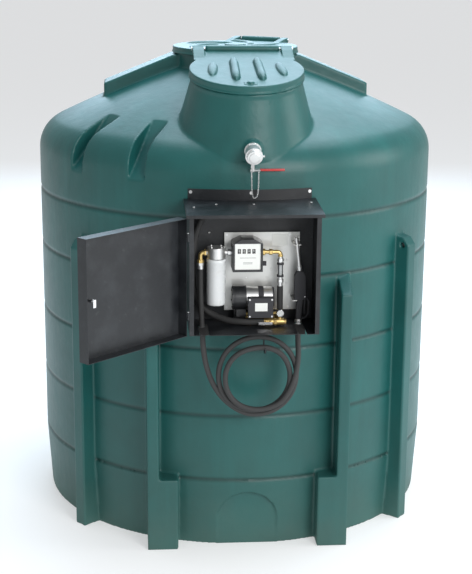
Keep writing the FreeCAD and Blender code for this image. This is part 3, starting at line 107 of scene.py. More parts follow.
class Net:
    """A node tree, for a finish or for geometry, filled through one method."""

    def __init__(self, tree):
        self.tree = tree

    def node(self, kind, settings=None, sockets=None, out=0):
        made = self.tree.nodes.new(kind)
        for key, value in (settings or {}).items():
            if key == "stops":
                ramp = made.color_ramp
                for place, grey in value[1:-1]:
                    ramp.elements.new(place)
                for element, (place, grey) in zip(ramp.elements, value):
                    element.position = place
                    element.color = (grey, grey, grey, 1)
            else:
                setattr(made, key, value)
        for key, value in (sockets or {}).items():
            if isinstance(value, Plug):
                self.tree.links.new(value.socket, made.inputs[key])
            else:
                made.inputs[key].default_value = value
        return Plug(self, made.outputs[out]) if made.outputs else None


class Finish(Net):
    """The node tree of one surface finish."""

    def __init__(self, name, colour, roughness, metallic=0.0, **fixed):
        self.material = bpy.data.materials.new(name)
        self.material.use_nodes = True
        super().__init__(self.material.node_tree)
        self.shader = self.tree.nodes["Principled BSDF"]
        self.colour = (*colour, 1)
        self.put("Base Color", self.colour)
        self.put("Roughness", roughness)
        self.put("Metallic", metallic)
        for key, value in fixed.items():
            self.put(key.replace("_", " "), value)
        self.place = self.node("ShaderNodeTexCoord", out="Object")

    def put(self, socket, value):
        if isinstance(value, Plug):
            self.tree.links.new(value.socket, self.shader.inputs[socket])
        else:
            self.shader.inputs[socket].default_value = value

    def stretched(self, scale):
        return self.node("ShaderNodeMapping", sockets={"Vector": self.place, "Scale": scale})

    def noise(self, scale, detail=3.0, roughness=0.55, place=None):
        return self.node("ShaderNodeTexNoise", sockets={
            "Vector": place or self.place, "Scale": scale, "Detail": detail, "Roughness": roughness})

    def cells(self, scale, feature="F1", out="Distance"):
        return self.node("ShaderNodeTexVoronoi", {"feature": feature},
                         {"Vector": self.place, "Scale": scale}, out)

    def ramp(self, value, *stops):
        return self.node("ShaderNodeValToRGB", {"stops": stops}, {"Fac": value})

    def mix(self, factor, first, second):
        return self.node("ShaderNodeMix", {"data_type": "RGBA"}, {0: factor, 6: first, 7: second}, 2)

    def height(self):
        """Distance above the floor."""
        return self.node("ShaderNodeSeparateXYZ", sockets={0: self.place}, out="Z")

    def from_axis(self):
        """Distance from the upright axis of the tank."""
        return self.node("ShaderNodeVectorMath", {"operation": "LENGTH"},
                         {0: self.stretched((1.0, 1.0, 0.0))}, "Value")

    def bump(self, relief, depth, strength=1.0):
        self.put("Normal", self.node("ShaderNodeBump", sockets={
            "Height": relief, "Distance": depth, "Strength": strength}))


def shade(colour, factor):
    """A colour made darker or lighter by a factor."""
    return (*(min(1.0, c * factor) for c in colour[:3]), 1)


# Finishes

RING_HEIGHTS = (0.371, 0.724, 1.084, 1.454, 1.762)
RING_HALF = 0.015
WALL_TOP = 2.0           # height that the ramps of the green finish span


def ring_grime(f):
    """How much painted shade lies at a point: full in the middle of each ring groove of the wall, else none.
    """
    stops = [(0.0, 0.0)]
    for height in RING_HEIGHTS:
        stops += [((height - RING_HALF) / WALL_TOP, 0.0), (height / WALL_TOP, 1.0),
                  ((height + RING_HALF) / WALL_TOP, 0.0)]
    wall_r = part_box("bund_shell")[1][0]
    on_wall = f.ramp(f.from_axis() - wall_r + 0.5, (0.501, 1.0), (0.504, 0.0))
    return f.ramp(f.height() / WALL_TOP, *stops, (1.0, 0.0)) * on_wall


def moulded_green(tools):
    """Rotationally moulded polyethylene: soft gloss, orange peel, dust low down, faint streaks, and painted
    shade in the ring grooves.
    """
    f = Finish("moulded_green", tools.tank_green, 0.42, Coat_Weight=0.05, Coat_Roughness=0.3,
               Specular_IOR_Level=0.42)
    mottle = f.noise(3.1, 4.0)
    streak = f.noise(9.0, 3.0, place=f.stretched((1.0, 1.0, 0.09)))
    drift = (f.noise(6.0) - 0.5) * 0.16
    dust = f.ramp(f.height() / WALL_TOP + drift, (0.0, 1.0), (0.14, 0.35), (0.4, 0.0))
    base = f.mix(f.ramp(mottle, (0.3, 0.0), (0.7, 1.0)), shade(f.colour, 0.86), shade(f.colour, 1.12))
    base = f.mix(f.ramp(streak, (0.52, 0.0), (0.78, 0.32)), base, shade(f.colour, 1.6))
    # Painted shade: each ring groove of the wall is darkened towards a much darker green.
    base = f.mix(ring_grime(f) * 0.8, base, shade(f.colour, 0.22))
    f.put("Base Color", f.mix(dust * 0.12, base, (*tint(142, 148, 132), 1)))
    f.put("Roughness", 0.37 + f.noise(14.0) * 0.12 + dust * 0.18)
    f.bump(f.noise(190.0, 2.0) * 0.35 + f.noise(26.0, 2.0) * 1.2, 0.0009)
    return f.material


def inner_plastic(tools):
    """The inner tank's plain natural moulding."""
    f = Finish("inner_plastic", tools.inner_grey, 0.55)
    f.put("Base Color", f.mix(f.noise(5.0), shade(f.colour, 0.85), shade(f.colour, 1.1)))
    f.bump(f.noise(120.0), 0.0006)
    return f.material


def powder_black(tools):
    """Fine textured black powder coat with a little dust and rubbed patches."""
    f = Finish("powder_black", tools.cabinet_black, 0.5)
    dust = f.ramp(f.noise(7.0, 5.0, 0.6), (0.46, 0.0), (0.74, 1.0))
    rub = f.ramp(f.noise(34.0, 4.0, 0.65), (0.62, 0.0), (0.7, 1.0))
    base = f.mix(dust * 0.22, f.colour, (*tint(84, 88, 92), 1))
    f.put("Base Color", f.mix(rub * 0.08, base, (*tint(120, 122, 122), 1)))
    f.put("Roughness", 0.40 + dust * 0.16)
    f.bump(f.noise(900.0, 1.0) + f.noise(300.0, 1.0) * 0.5, 0.00025)
    return f.material


def zinc(tools):
    """Bright zinc plate, slightly cloudy."""
    f = Finish("zinc", tint(196, 194, 186), 0.3, 1.0)
    cloud = f.noise(60.0, 4.0)
    f.put("Base Color", f.mix(cloud, (*tint(160, 158, 150), 1), (*tint(214, 212, 206), 1)))
    f.put("Roughness", 0.22 + cloud * 0.26)
    f.bump(f.noise(700.0, 2.0), 0.0001)
    return f.material


def galvanised(tools):
    """Hot dipped sheet with its spangle."""
    f = Finish("galvanised", tint(160, 155, 142), 0.46, 0.8)
    spangle = f.cells(95.0, out="Color")
    flake = f.node("ShaderNodeSeparateColor", sockets={0: spangle})
    f.put("Base Color", f.mix(flake, (*tint(142, 137, 124), 1), (*tint(186, 180, 166), 1)))
    f.put("Roughness", 0.40 + flake * 0.22 + f.noise(12.0) * 0.1)
    f.bump(f.noise(500.0, 2.0), 0.0001)
    return f.material


def cast_aluminium(tools):
    """Die cast aluminium, dull and slightly grainy."""
    f = Finish("cast_aluminium", tint(198, 198, 192), 0.45, 1.0)
    f.put("Base Color", f.mix(f.noise(45.0, 4.0), (*tint(168, 168, 162), 1), (*tint(214, 214, 208), 1)))
    f.put("Roughness", 0.46 + f.noise(90.0) * 0.2)
    f.bump(f.noise(420.0, 3.0), 0.00025)
    return f.material


def chrome(tools):
    """Polished plate with faint smears."""
    f = Finish("chrome", tint(222, 222, 220), 0.1, 1.0)
    f.put("Roughness", 0.06 + f.ramp(f.noise(40.0, 4.0), (0.45, 0.0), (0.8, 0.3)))
    f.bump(f.noise(60.0), 0.00005)
    return f.material


def brass(tools):
    """Machined brass, tarnished in places."""
    f = Finish("brass", tools.brass_gold, 0.28, 1.0)
    tarnish = f.ramp(f.noise(50.0, 5.0, 0.6), (0.4, 0.0), (0.75, 1.0))
    f.put("Base Color", f.mix(tarnish, f.colour, (*tint(132, 98, 48), 1)))
    f.put("Roughness", 0.2 + tarnish * 0.25)
    f.bump(f.noise(600.0, 2.0), 0.0001)
    return f.material


def black_casting(tools):
    """Black painted casting with an open grain."""
    f = Finish("black_casting", tint(34, 35, 37), 0.45, Coat_Weight=0.2, Coat_Roughness=0.3)
    wear = f.ramp(f.noise(55.0, 5.0, 0.6), (0.55, 0.0), (0.75, 1.0))
    f.put("Base Color", f.mix(wear * 0.3, f.colour, (*tint(88, 88, 88), 1)))
    f.put("Roughness", 0.36 + wear * 0.2)
    f.bump(f.noise(330.0, 3.0), 0.0003)
    return f.material


def black_plastic(tools):
    """Moulded black plastic with a fine spark texture."""
    f = Finish("black_plastic", tint(28, 29, 31), 0.4)
    f.put("Base Color", f.mix(f.ramp(f.noise(30.0, 4.0), (0.45, 0.0), (0.8, 0.5)), f.colour,
                              (*tint(70, 71, 73), 1)))
    f.put("Roughness", 0.34 + f.noise(110.0) * 0.16)
    f.bump(f.noise(1100.0, 1.0), 0.00012)
    return f.material


def hose_rubber(tools):
    """Black fuel hose rubber with a cloth wrapped skin and scuffs."""
    f = Finish("hose_rubber", tint(22, 23, 25), 0.5)
    scuff = f.ramp(f.noise(38.0, 6.0, 0.65), (0.5, 0.0), (0.72, 1.0))
    f.put("Base Color", f.mix(scuff * 0.22, f.colour, (*tint(88, 89, 90), 1)))
    f.put("Roughness", 0.38 + scuff * 0.25)
    f.bump(f.noise(420.0, 2.0), 0.0003)
    return f.material


def white_paint(tools):
    """White baked paint of the spin on cartridge."""
    f = Finish("white_paint", tint(226, 228, 228), 0.3, Coat_Weight=0.3, Coat_Roughness=0.15)
    grime = f.ramp(f.noise(24.0, 5.0, 0.6), (0.5, 0.0), (0.8, 1.0))
    f.put("Base Color", f.mix(grime * 0.35, f.colour, (*tint(168, 164, 152), 1)))
    f.put("Roughness", 0.26 + grime * 0.2)
    f.bump(f.noise(160.0), 0.00008)
    return f.material


def white_plastic(tools):
    """Printed face sheet, plain white."""
    f = Finish("white_plastic", tint(238, 239, 234), 0.42)
    f.put("Base Color", f.mix(f.noise(30.0, 4.0), shade(f.colour, 0.93), f.colour))
    f.put("Roughness", 0.38 + f.noise(60.0) * 0.1)
    f.bump(f.noise(240.0), 0.00005)
    return f.material


def clear_glass(tools):
    """Clear glass of the sight tube and the gauge."""
    f = Finish("clear_glass", (0.42, 0.40, 0.36), 0.03, Transmission_Weight=1.0, IOR=1.45)
    f.put("Roughness", 0.02 + f.ramp(f.noise(70.0), (0.5, 0.0), (0.9, 0.1)))
    return f.material


def red_sleeve(tools):
    """Red dipped grip of the fill valve's lever."""
    f = Finish("red_sleeve", tools.lever_red, 0.35, Coat_Weight=0.3)
    f.put("Base Color", f.mix(f.noise(60.0), shade(f.colour, 0.8), f.colour))
    f.put("Roughness", 0.3 + f.noise(120.0) * 0.15)
    f.bump(f.noise(300.0), 0.0001)
    return f.material


FINISHES = {
    "tank_green": moulded_green, "tank_inner": inner_plastic, "black_powder": powder_black, "zinc": zinc,
    "galvanised": galvanised, "cast_aluminium": cast_aluminium, "chrome": chrome, "brass": brass,
    "cast_black": black_casting, "black_plastic": black_plastic, "hose_rubber": hose_rubber,
    "filter_white": white_paint, "face_white": white_plastic, "clear_glass": clear_glass,
    "red_sleeve": red_sleeve,
}


def finish_of(name):
    """The finish for a slot, made the first time that it is asked for."""
    found = bpy.data.materials.get(FINISHES[name].__name__)
    return found or FINISHES[name](bpy.context.scene.tank_tools)


# Making pieces

def piece(name, data, body, slot, finish=None, replaced=()):
    """A finished object at the origin that rides on a body."""
    made = bpy.data.objects.new(name, data)
    bpy.context.collection.objects.link(made)
    data.materials.clear()
    data.materials.append(finish_of(finish or slot))
    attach(made, body)
    if replaced:
        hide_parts(*replaced)
    return made


# Building and rounding meshes

def clean_copy(node):
    """A node's mesh with its doubled points merged."""
    mesh = frame["nodes"][node].data.copy()
    bm = bmesh.new()
    bm.from_mesh(mesh)
    bmesh.ops.remove_doubles(bm, verts=bm.verts, dist=0.02 * MM)
    bmesh.ops.recalc_face_normals(bm, faces=bm.faces)
    bm.to_mesh(mesh)
    bm.free()
    mesh.materials.clear()
    return mesh


def joined(meshes, frame_of=None):
    """Several meshes in one, the later ones carried to a place by a matrix."""
    bm = bmesh.new()
    for mesh in meshes:
        bm.from_mesh(mesh)
    out = bpy.data.meshes.new("joined")
    if frame_of:
        bmesh.ops.transform(bm, matrix=frame_of, verts=bm.verts)
    bmesh.ops.recalc_face_normals(bm, faces=bm.faces)
    bm.to_mesh(out)
    bm.free()
    return out


def evaluated(mesh, modifiers):
    """The mesh after a stack of modifiers, as plain faces."""
    holder = bpy.data.objects.new("holder", mesh)
    bpy.context.collection.objects.link(holder)
    for kind, settings in modifiers:
        made = holder.modifiers.new(kind, kind)
        for key, value in settings.items():
            setattr(made, key, value)
    graph = bpy.context.evaluated_depsgraph_get()
    out = bpy.data.meshes.new_from_object(holder.evaluated_get(graph))
    bpy.data.objects.remove(holder)
    out.polygons.foreach_set("use_smooth", [True] * len(out.polygons))
    return out


def softened(mesh, voxel, passes, kept):
    """Edges rounded as a mould rounds them: even faces, relaxed, then thinned out."""
    return evaluated(mesh, [
        ("REMESH", {"mode": "VOXEL", "voxel_size": voxel, "use_smooth_shade": True}),
        ("SMOOTH", {"factor": 0.5, "iterations": passes}),
        ("DECIMATE", {"ratio": kept})])


def eased(mesh, width):
    """Sheet metal edges with a small round that catches the light."""
    bm = bmesh.new()
    bm.from_mesh(mesh)
    bmesh.ops.dissolve_limit(bm, angle_limit=math.radians(1), verts=bm.verts, edges=bm.edges)
    bm.to_mesh(mesh)
    bm.free()
    out = evaluated(mesh, [
        ("BEVEL", {"width": width, "segments": 2, "limit_method": "ANGLE", "angle_limit": math.radians(40),
                   "harden_normals": False}),
        ("TRIANGULATE", {})])
    out.polygons.foreach_set("use_smooth", [False] * len(out.polygons))
    return out


def from_faces(points, faces):
    """A mesh of these points and faces, with its faces turned outwards."""
    mesh = bpy.data.meshes.new("faces")
    mesh.from_pydata([tuple(p) for p in points], [], faces)
    bm = bmesh.new()
    bm.from_mesh(mesh)
    bmesh.ops.recalc_face_normals(bm, faces=bm.faces)
    bm.to_mesh(mesh)
    bm.free()
    return mesh


def slab(x0, x1, y0, y1, z0, z1):
    """A flat block between two corners."""
    return prism([(y0, z0), (y1, z0), (y1, z1), (y0, z1)], x0, x1)


def prism(outline, x0, x1):
    """An outline in the YZ plane carried along X."""
    n = len(outline)
    points = [(x, y, z) for x in (x0, x1) for y, z in outline]
    faces = [tuple(range(n)), tuple(range(2 * n - 1, n - 1, -1))]
    faces += [(k, (k + 1) % n, n + (k + 1) % n, n + k) for k in range(n)]
    return from_faces(points, faces)


def lathe(outline, origin, axis, steps=48):
    """A closed outline of (radius, height) turned about an axis through the origin given."""
    turn = Vector(axis).to_track_quat("Z", "Y").to_matrix().to_4x4()
    place = Matrix.Translation(origin) @ turn
    n = len(outline)
    points, faces = [], []
    for k in range(steps):
        a = 2 * math.pi * k / steps
        points += [place @ Vector((r * math.cos(a), r * math.sin(a), h)) for r, h in outline]
        base, after = k * n, ((k + 1) % steps) * n
        faces += [(base + j, base + (j + 1) % n, after + (j + 1) % n, after + j) for j in range(n)]
    mesh = from_faces(points, faces)
    mesh.polygons.foreach_set("use_smooth", [True] * len(mesh.polygons))
    return mesh


def ridge(line, half, height, sunk=0.008, fade=0.22):
    """A rounded rib along a line on a flat top, thinning to both ends."""
    arc, last = 9, len(line) - 1
    points, faces = [], []
    for k, p in enumerate(line):
        t = k / last
        edge = min(t, 1 - t) / fade
        size = math.sqrt(max(0.02, 1 - (1 - edge) ** 2)) if edge < 1 else 1.0
        ahead = Vector(line[min(k + 1, last)]) - Vector(line[max(k - 1, 0)])
        side = Vector((ahead.y, -ahead.x, 0)).normalized()
        for j in range(arc):
            a = math.pi * j / (arc - 1)
            across, up = half * size * math.cos(a), height * size * math.sin(a)
            points.append(Vector(p) + side * across + Vector((0, 0, up)))
        points.append(Vector(p) - side * (half * size) - Vector((0, 0, sunk)))
        points.append(Vector(p) + side * (half * size) - Vector((0, 0, sunk)))
    n = arc + 2
    for k in range(last):
        here, after = k * n, (k + 1) * n
        faces += [(here + j, here + (j + 1) % n, after + (j + 1) % n, after + j) for j in range(n)]
    faces += [tuple(range(n)), tuple(range(last * n, (last + 1) * n))]
    return from_faces(points, faces)


def lettering(text, size, depth):
    """Plain figures as a mesh in the XY plane, centred."""
    data = bpy.data.curves.new("figures", "FONT")
    data.body = text
    data.size = size
    data.extrude = depth
    data.resolution_u = 3
    data.align_x, data.align_y = "CENTER", "CENTER"
    return evaluated(data, [])


# Copies of one small thing, placed by geometry nodes

def scatter_tree():
    """Puts a copy of the small thing at every point, turned as the point's attribute says."""
    found = bpy.data.node_groups.get("scatter")
    if found:
        return found
    tree = bpy.data.node_groups.new("scatter", "GeometryNodeTree")
    sockets = [("Geometry", "NodeSocketGeometry"), ("Small thing", "NodeSocketObject"),
               ("Size", "NodeSocketFloat"), ("Finish", "NodeSocketMaterial")]
    for label, kind in sockets:
        tree.interface.new_socket(label, in_out="INPUT", socket_type=kind)
    tree.interface.new_socket("Geometry", in_out="OUTPUT", socket_type="NodeSocketGeometry")
    net = Net(tree)
    given = tree.nodes.new("NodeGroupInput")
    plug = {row.name: Plug(net, row) for row in given.outputs if row.name}
    thing = net.node("GeometryNodeObjectInfo", sockets={"Object": plug["Small thing"]}, out="Geometry")
    turn = net.node("GeometryNodeInputNamedAttribute", {"data_type": "FLOAT_VECTOR"}, {"Name": "turn"})
    spin = net.node("FunctionNodeEulerToRotation", sockets={0: turn})
    copies = net.node("GeometryNodeInstanceOnPoints", sockets={
        "Points": plug["Geometry"], "Instance": thing, "Rotation": spin, "Scale": plug["Size"]})
    real = net.node("GeometryNodeRealizeInstances", sockets={"Geometry": copies})
    net.node("NodeGroupOutput", sockets={
        0: net.node("GeometryNodeSetMaterial", sockets={"Geometry": real, "Material": plug["Finish"]})})
    return tree


def scattered(name, places, small, body, slot, finish=None, replaced=()):
    """One piece made of copies of a small mesh at (place, turn) pairs."""
    points = bpy.data.meshes.new(name)
    points.from_pydata([tuple(place) for place, turn in places], [], [])
    turns = points.attributes.new("turn", "FLOAT_VECTOR", "POINT")
    turns.data.foreach_set("vector", [value for place, turn in places for value in turn])
    thing = bpy.data.objects.new("small_thing", small)
    bpy.context.collection.objects.link(thing)
    holder = bpy.data.objects.new("holder", points)
    bpy.context.collection.objects.link(holder)
    made = holder.modifiers.new("scatter", "NODES")
    made.node_group = scatter_tree()
    inputs = [row for row in made.node_group.interface.items_tree if row.in_out == "INPUT"]
    names = {row.name: row.identifier for row in inputs}
    made[names["Small thing"]] = thing
    made[names["Size"]] = 1.0
    made[names["Finish"]] = finish_of(finish or slot)
    graph = bpy.context.evaluated_depsgraph_get()
    mesh = bpy.data.meshes.new_from_object(holder.evaluated_get(graph))
    holder.modifiers.remove(made)
    bpy.data.objects.remove(holder)
    bpy.data.objects.remove(thing)
    return piece(name, mesh, body, slot, finish, replaced)


# Settings that a user may change

class TANK_PG_tools(bpy.types.PropertyGroup):
    """Sizes and colours of the dressed tank."""
    tank_green: FloatVectorProperty(
        name="Tank green", description="Colour of the moulded tank", subtype="COLOR", size=3,
        min=0, max=1, default=tint(20, 80, 77))
    inner_grey: FloatVectorProperty(
        name="Inner tank", description="Colour of the tank inside the shell", subtype="COLOR", size=3,
        min=0, max=1, default=tint(52, 54, 54))
    cabinet_black: FloatVectorProperty(
        name="Cabinet black", description="Colour of the powder coated sheet", subtype="COLOR", size=3,
        min=0, max=1, default=tint(17, 20, 24))
    brass_gold: FloatVectorProperty(
        name="Brass", description="Colour of the clean brass", subtype="COLOR", size=3,
        min=0, max=1, default=tint(214, 172, 92))
    lever_red: FloatVectorProperty(
        name="Lever red", description="Colour of the fill valve's grip", subtype="COLOR", size=3,
        min=0, max=1, default=tint(186, 38, 30))
    hose_diameter: FloatProperty(
        name="Hose diameter", description="Outside diameter of the delivery hose", unit="LENGTH",
        min=0.015, max=0.04, default=0.027)
    floor_size: FloatProperty(
        name="Floor size", description="Width of the plain floor", unit="LENGTH", min=10, max=400,
        default=120)
    key_power: FloatProperty(
        name="Key lamp", description="Power of the main soft lamp", subtype="POWER", min=0, max=5000,
        default=450)
    sky_strength: FloatProperty(
        name="Sky strength", description="Strength of the even light from all round", min=0, max=3,
        default=0.52)


# Operators

# The camera of the photograph: where it stands, its turn in degrees and its lens in millimetres
EYE_AT = (-0.5957, -7.9229, 3.1875)
EYE_TURN = (75.49, -0.4125, -4.3)
LENS = 87.8

COLD = (0.62, 0.82, 1.0)
COOL = (0.72, 0.88, 1.0)


class TANK_OT_stage(bpy.types.Operator):
    """Sets the floor, the soft lamps, the even sky and the camera"""
    bl_idname = "tank.stage"
    bl_label = "Stage"

    def execute(self, context):
        tools = context.scene.tank_tools
        half = tools.floor_size / 2
        mesh = bpy.data.meshes.new("floor")
        mesh.from_pydata([(-half, -half, 0), (half, -half, 0), (half, half, 0), (-half, half, 0)], [],
                         [(0, 1, 2, 3)])
        floor = bpy.data.objects.new("floor", mesh)
        context.collection.objects.link(floor)
        f = Finish("pale_floor", (0.58, 0.58, 0.58), 0.85)
        glow = f.node("ShaderNodeEmission", sockets={"Color": (1, 1, 1, 1), "Strength": 0.42})
        both = f.node("ShaderNodeAddShader", sockets={0: Plug(f, f.shader.outputs[0]), 1: glow})
        f.tree.links.new(both.socket, f.tree.nodes["Material Output"].inputs["Surface"])
        mesh.materials.append(f.material)
        self.lamp(context, "key", (3.4, -8.3, 4.4), 4.5, tools.key_power * 1.05)
        self.lamp(context, "top", (1.0, 1.0, 8.0), 7.0, tools.key_power * 1.3, COOL)
        self.lamp(context, "rear_sky", (0.5, 7.5, 6.0), 8.0, tools.key_power * 1.5, COLD)
        self.lamp(context, "side", (7.5, -1.5, 3.5), 4.0, tools.key_power * 0.45)
        self.sky(context, tools.sky_strength)
        camera = bpy.data.cameras.new("photo_camera")
        camera.lens = LENS
        camera.sensor_width = 36.0
        camera.clip_end = 500
        eye = bpy.data.objects.new("photo_camera", camera)
        eye.location = EYE_AT
        eye.rotation_euler = [math.radians(turn) for turn in EYE_TURN]
        context.collection.objects.link(eye)
        context.scene.camera = eye
        context.scene.view_settings.view_transform = "Standard"
        return {"FINISHED"}

    def lamp(self, context, name, place, width, power, colour=(1, 1, 1)):
        data = bpy.data.lights.new(name, "AREA")
        data.color = colour
        data.shape = "DISK"
        data.size = width
        data.energy = power
        lamp = bpy.data.objects.new(name, data)
        lamp.location = place
        lamp.rotation_euler = (Vector((0, 0, 1.2)) - Vector(place)).to_track_quat("-Z", "Y").to_euler()
        context.collection.objects.link(lamp)

    def sky(self, context, strength):
        world = context.scene.world or bpy.data.worlds.new("sky")
        context.scene.world = world
        world.use_nodes = True
        net = Net(world.node_tree)
        net.tree.nodes.clear()
        seen = net.node("ShaderNodeLightPath", out="Is Camera Ray")
        even = net.node("ShaderNodeBackground", sockets={"Color": (0.94, 0.97, 1, 1), "Strength": strength})
        plain = net.node("ShaderNodeBackground", sockets={"Color": (1, 1, 1, 1), "Strength": 1.0})
        net.node("ShaderNodeOutputWorld", sockets={
            "Surface": net.node("ShaderNodeMixShader", sockets={0: seen, 1: even, 2: plain})})


class TANK_OT_finishes(bpy.types.Operator):
    """Gives every solid the finish of its slot"""
    bl_idname = "tank.finishes"
    bl_label = "Finishes"

    def execute(self, context):
        slots = {row["node"]: row["material_slot"] for row in frame["record"]["subparts"]}
        for name, node in frame["nodes"].items():
            node.data.materials.clear()
            node.data.materials.append(finish_of(slots[name]))
        return {"FINISHED"}


# Delivery hose, from the elbow's tail over the hook in two and a half turns to the nozzle
HOSE_ROUTE = [
    (-0.254, -1.190, 1.535), (-0.254, -1.190, 1.440), (-0.252, -1.218, 1.335), (-0.248, -1.243, 1.230),
    (-0.243, -1.252, 1.135), (-0.228, -1.252, 1.045), (-0.199, -1.252, 0.962), (-0.158, -1.252, 0.893),
    (-0.104, -1.252, 0.838), (-0.036, -1.252, 0.797), (0.030, -1.252, 0.788), (0.104, -1.252, 0.803),
    (0.166, -1.252, 0.845), (0.208, -1.252, 0.905), (0.228, -1.252, 0.980), (0.222, -1.252, 1.056),
    (0.188, -1.252, 1.124), (0.134, -1.252, 1.174), (0.064, -1.252, 1.199), (-0.012, -1.252, 1.197),
    (-0.082, -1.253, 1.168), (-0.136, -1.255, 1.116), (-0.165, -1.258, 1.046), (-0.168, -1.260, 0.972),
    (-0.146, -1.262, 0.904), (-0.100, -1.263, 0.851), (-0.036, -1.263, 0.820), (0.034, -1.263, 0.814),
    (0.101, -1.263, 0.832), (0.155, -1.263, 0.875), (0.187, -1.264, 0.934), (0.196, -1.266, 1.000),
    (0.181, -1.268, 1.064), (0.144, -1.270, 1.118), (0.086, -1.272, 1.148), (0.024, -1.274, 1.150),
    (-0.040, -1.278, 1.136), (-0.094, -1.282, 1.104), (-0.128, -1.285, 1.050), (-0.138, -1.287, 0.986),
    (-0.124, -1.288, 0.922), (-0.086, -1.289, 0.868), (-0.030, -1.290, 0.836), (0.034, -1.290, 0.826),
    (0.098, -1.290, 0.838), (0.152, -1.290, 0.868), (0.194, -1.290, 0.930), (0.222, -1.284, 1.010),
    (0.236, -1.254, 1.092), (0.236, -1.204, 1.170), (0.236, -1.200, 1.240),
]


class TANK_OT_delivery_hose(bpy.types.Operator):
    """Lays the delivery hose as one free cord over its hook"""
    bl_idname = "tank.delivery_hose"
    bl_label = "Delivery hose"

    def execute(self, context):
        tools = context.scene.tank_tools
        curve = bpy.data.curves.new("delivery_hose", "CURVE")
        curve.dimensions = "3D"
        curve.bevel_depth = tools.hose_diameter / 2
        curve.bevel_resolution = 5
        curve.resolution_u = 6
        curve.use_fill_caps = True
        line = curve.splines.new("NURBS")
        line.points.add(len(HOSE_ROUTE) - 1)
        for point, place in zip(line.points, HOSE_ROUTE):
            point.co = (*place, 1)
        line.order_u = 3
        line.use_endpoint_u = True
        hose = piece("delivery_hose", curve, "tank", "hose_rubber",
                     replaced=("hose_lead_in", "hose_coil", "hose_lead_out"))
        return {"FINISHED"}


SHELL_VOXEL = 7.0 * MM
SHELL_KEPT = 0.078       # share of the faces kept when the rounded shell is thinned out
LID_VOXEL = 3.0 * MM
KEPT = 0.35

# Lids' own frames, as in the solids: origin at the top's centre, hinge at the rear
FRONT_LID = Matrix.Translation((0, -0.800, 2.483)) @ Matrix.Rotation(math.radians(12), 4, "X")
CENTRE_LID = Matrix.Translation((0, 0, 2.533)) @ Matrix.Rotation(math.radians(-28), 4, "Z")
FRONT_LID_R, CENTRE_LID_R = 0.292, 0.350
LID_PLATE = 0.008
HINGE_BACK = 0.026       # hinge axis behind the lid's edge
PIN_RISE = 0.006         # hinge axis above the lid's top
PIN_BORE = 0.0061
BARREL_R = 0.016
SKIRT_T = 0.008
BEAD_OUT = 0.004
SKIRT_ARC = (-204.8, 24.8)


def straight(a, b, steps=14):
    """Even points along a straight line."""
    a, b = Vector(a), Vector(b)
    return [a + (b - a) * (k / steps) for k in range(steps + 1)]


def bowed(radius, start, turn, rise=0.0, steps=16):
    """A curved rib's line: from radius[0] to radius[1] while it turns."""
    out = []
    for k in range(steps + 1):
        t = k / steps
        r = radius[0] + (radius[1] - radius[0]) * t
        a = math.radians(start + turn * t)
        out.append(Vector((r * math.cos(a), r * math.sin(a), rise)))
    return out


def band(inner, outer, low, high, start, end, steps=72):
    """A flat sided hoop from one angle to another."""
    points, faces = [], []
    for k in range(steps + 1):
        a = math.radians(start + (end - start) * k / steps)
        across = Vector((math.cos(a), math.sin(a), 0))
        section = ((inner, low), (outer, low), (outer, high), (inner, high))
        points += [across * r + Vector((0, 0, h)) for r, h in section]
    for k in range(steps):
        faces += [(4 * k + j, 4 * k + (j + 1) % 4, 4 * k + 4 + (j + 1) % 4, 4 * k + 4 + j) for j in range(4)]
    faces += [(0, 1, 2, 3), tuple(4 * steps + j for j in range(4))]
    return from_faces(points, faces)


def lid_blank(lid_r, skirt, inner, outer):
    """Plate, skirt open at the rear, straight rear edge, and the two horns with their barrels."""
    back = lid_r + 3 * MM
    axis = lid_r + HINGE_BACK
    root, rise = lid_r * 0.62, lid_r * 0.92
    horn = [(root, -LID_PLATE), (root, 0), (rise, 0.016), (axis, 0.021), (axis, -LID_PLATE)]
    wide = outer - inner
    barrel = [(PIN_BORE, 0), (BARREL_R, 0), (BARREL_R, wide), (PIN_BORE, wide)]
    plate = [(0, -LID_PLATE), (lid_r, -LID_PLATE), (lid_r, -0.003), (lid_r - 0.004, 0), (0, 0)]
    return [lathe(plate, (0, 0, 0), (0, 0, 1), 96),
            band(lid_r - SKIRT_T, lid_r, -skirt, -LID_PLATE + 0.002, *SKIRT_ARC),
            band(lid_r - BEAD_OUT, lid_r + BEAD_OUT, -skirt, -skirt + 0.009, *SKIRT_ARC),
            slab(-outer, outer, lid_r * 0.5, back, -LID_PLATE, 0),
            prism(horn, inner, outer), prism(horn, -outer, -inner),
            lathe(barrel, (inner, axis, PIN_RISE), (1, 0, 0), 24),
            lathe(barrel, (-outer, axis, PIN_RISE), (1, 0, 0), 24)]


class TANK_OT_moulding(bpy.types.Operator):
    """Rounds the moulded tank's edges"""
    bl_idname = "tank.moulding"
    bl_label = "Moulded tank"

    def execute(self, context):
        shell = softened(clean_copy("bund_shell"), SHELL_VOXEL, 2, SHELL_KEPT)
        piece("moulded_tank", shell, "tank", "tank_green", replaced=("bund_shell",))
        return {"FINISHED"}


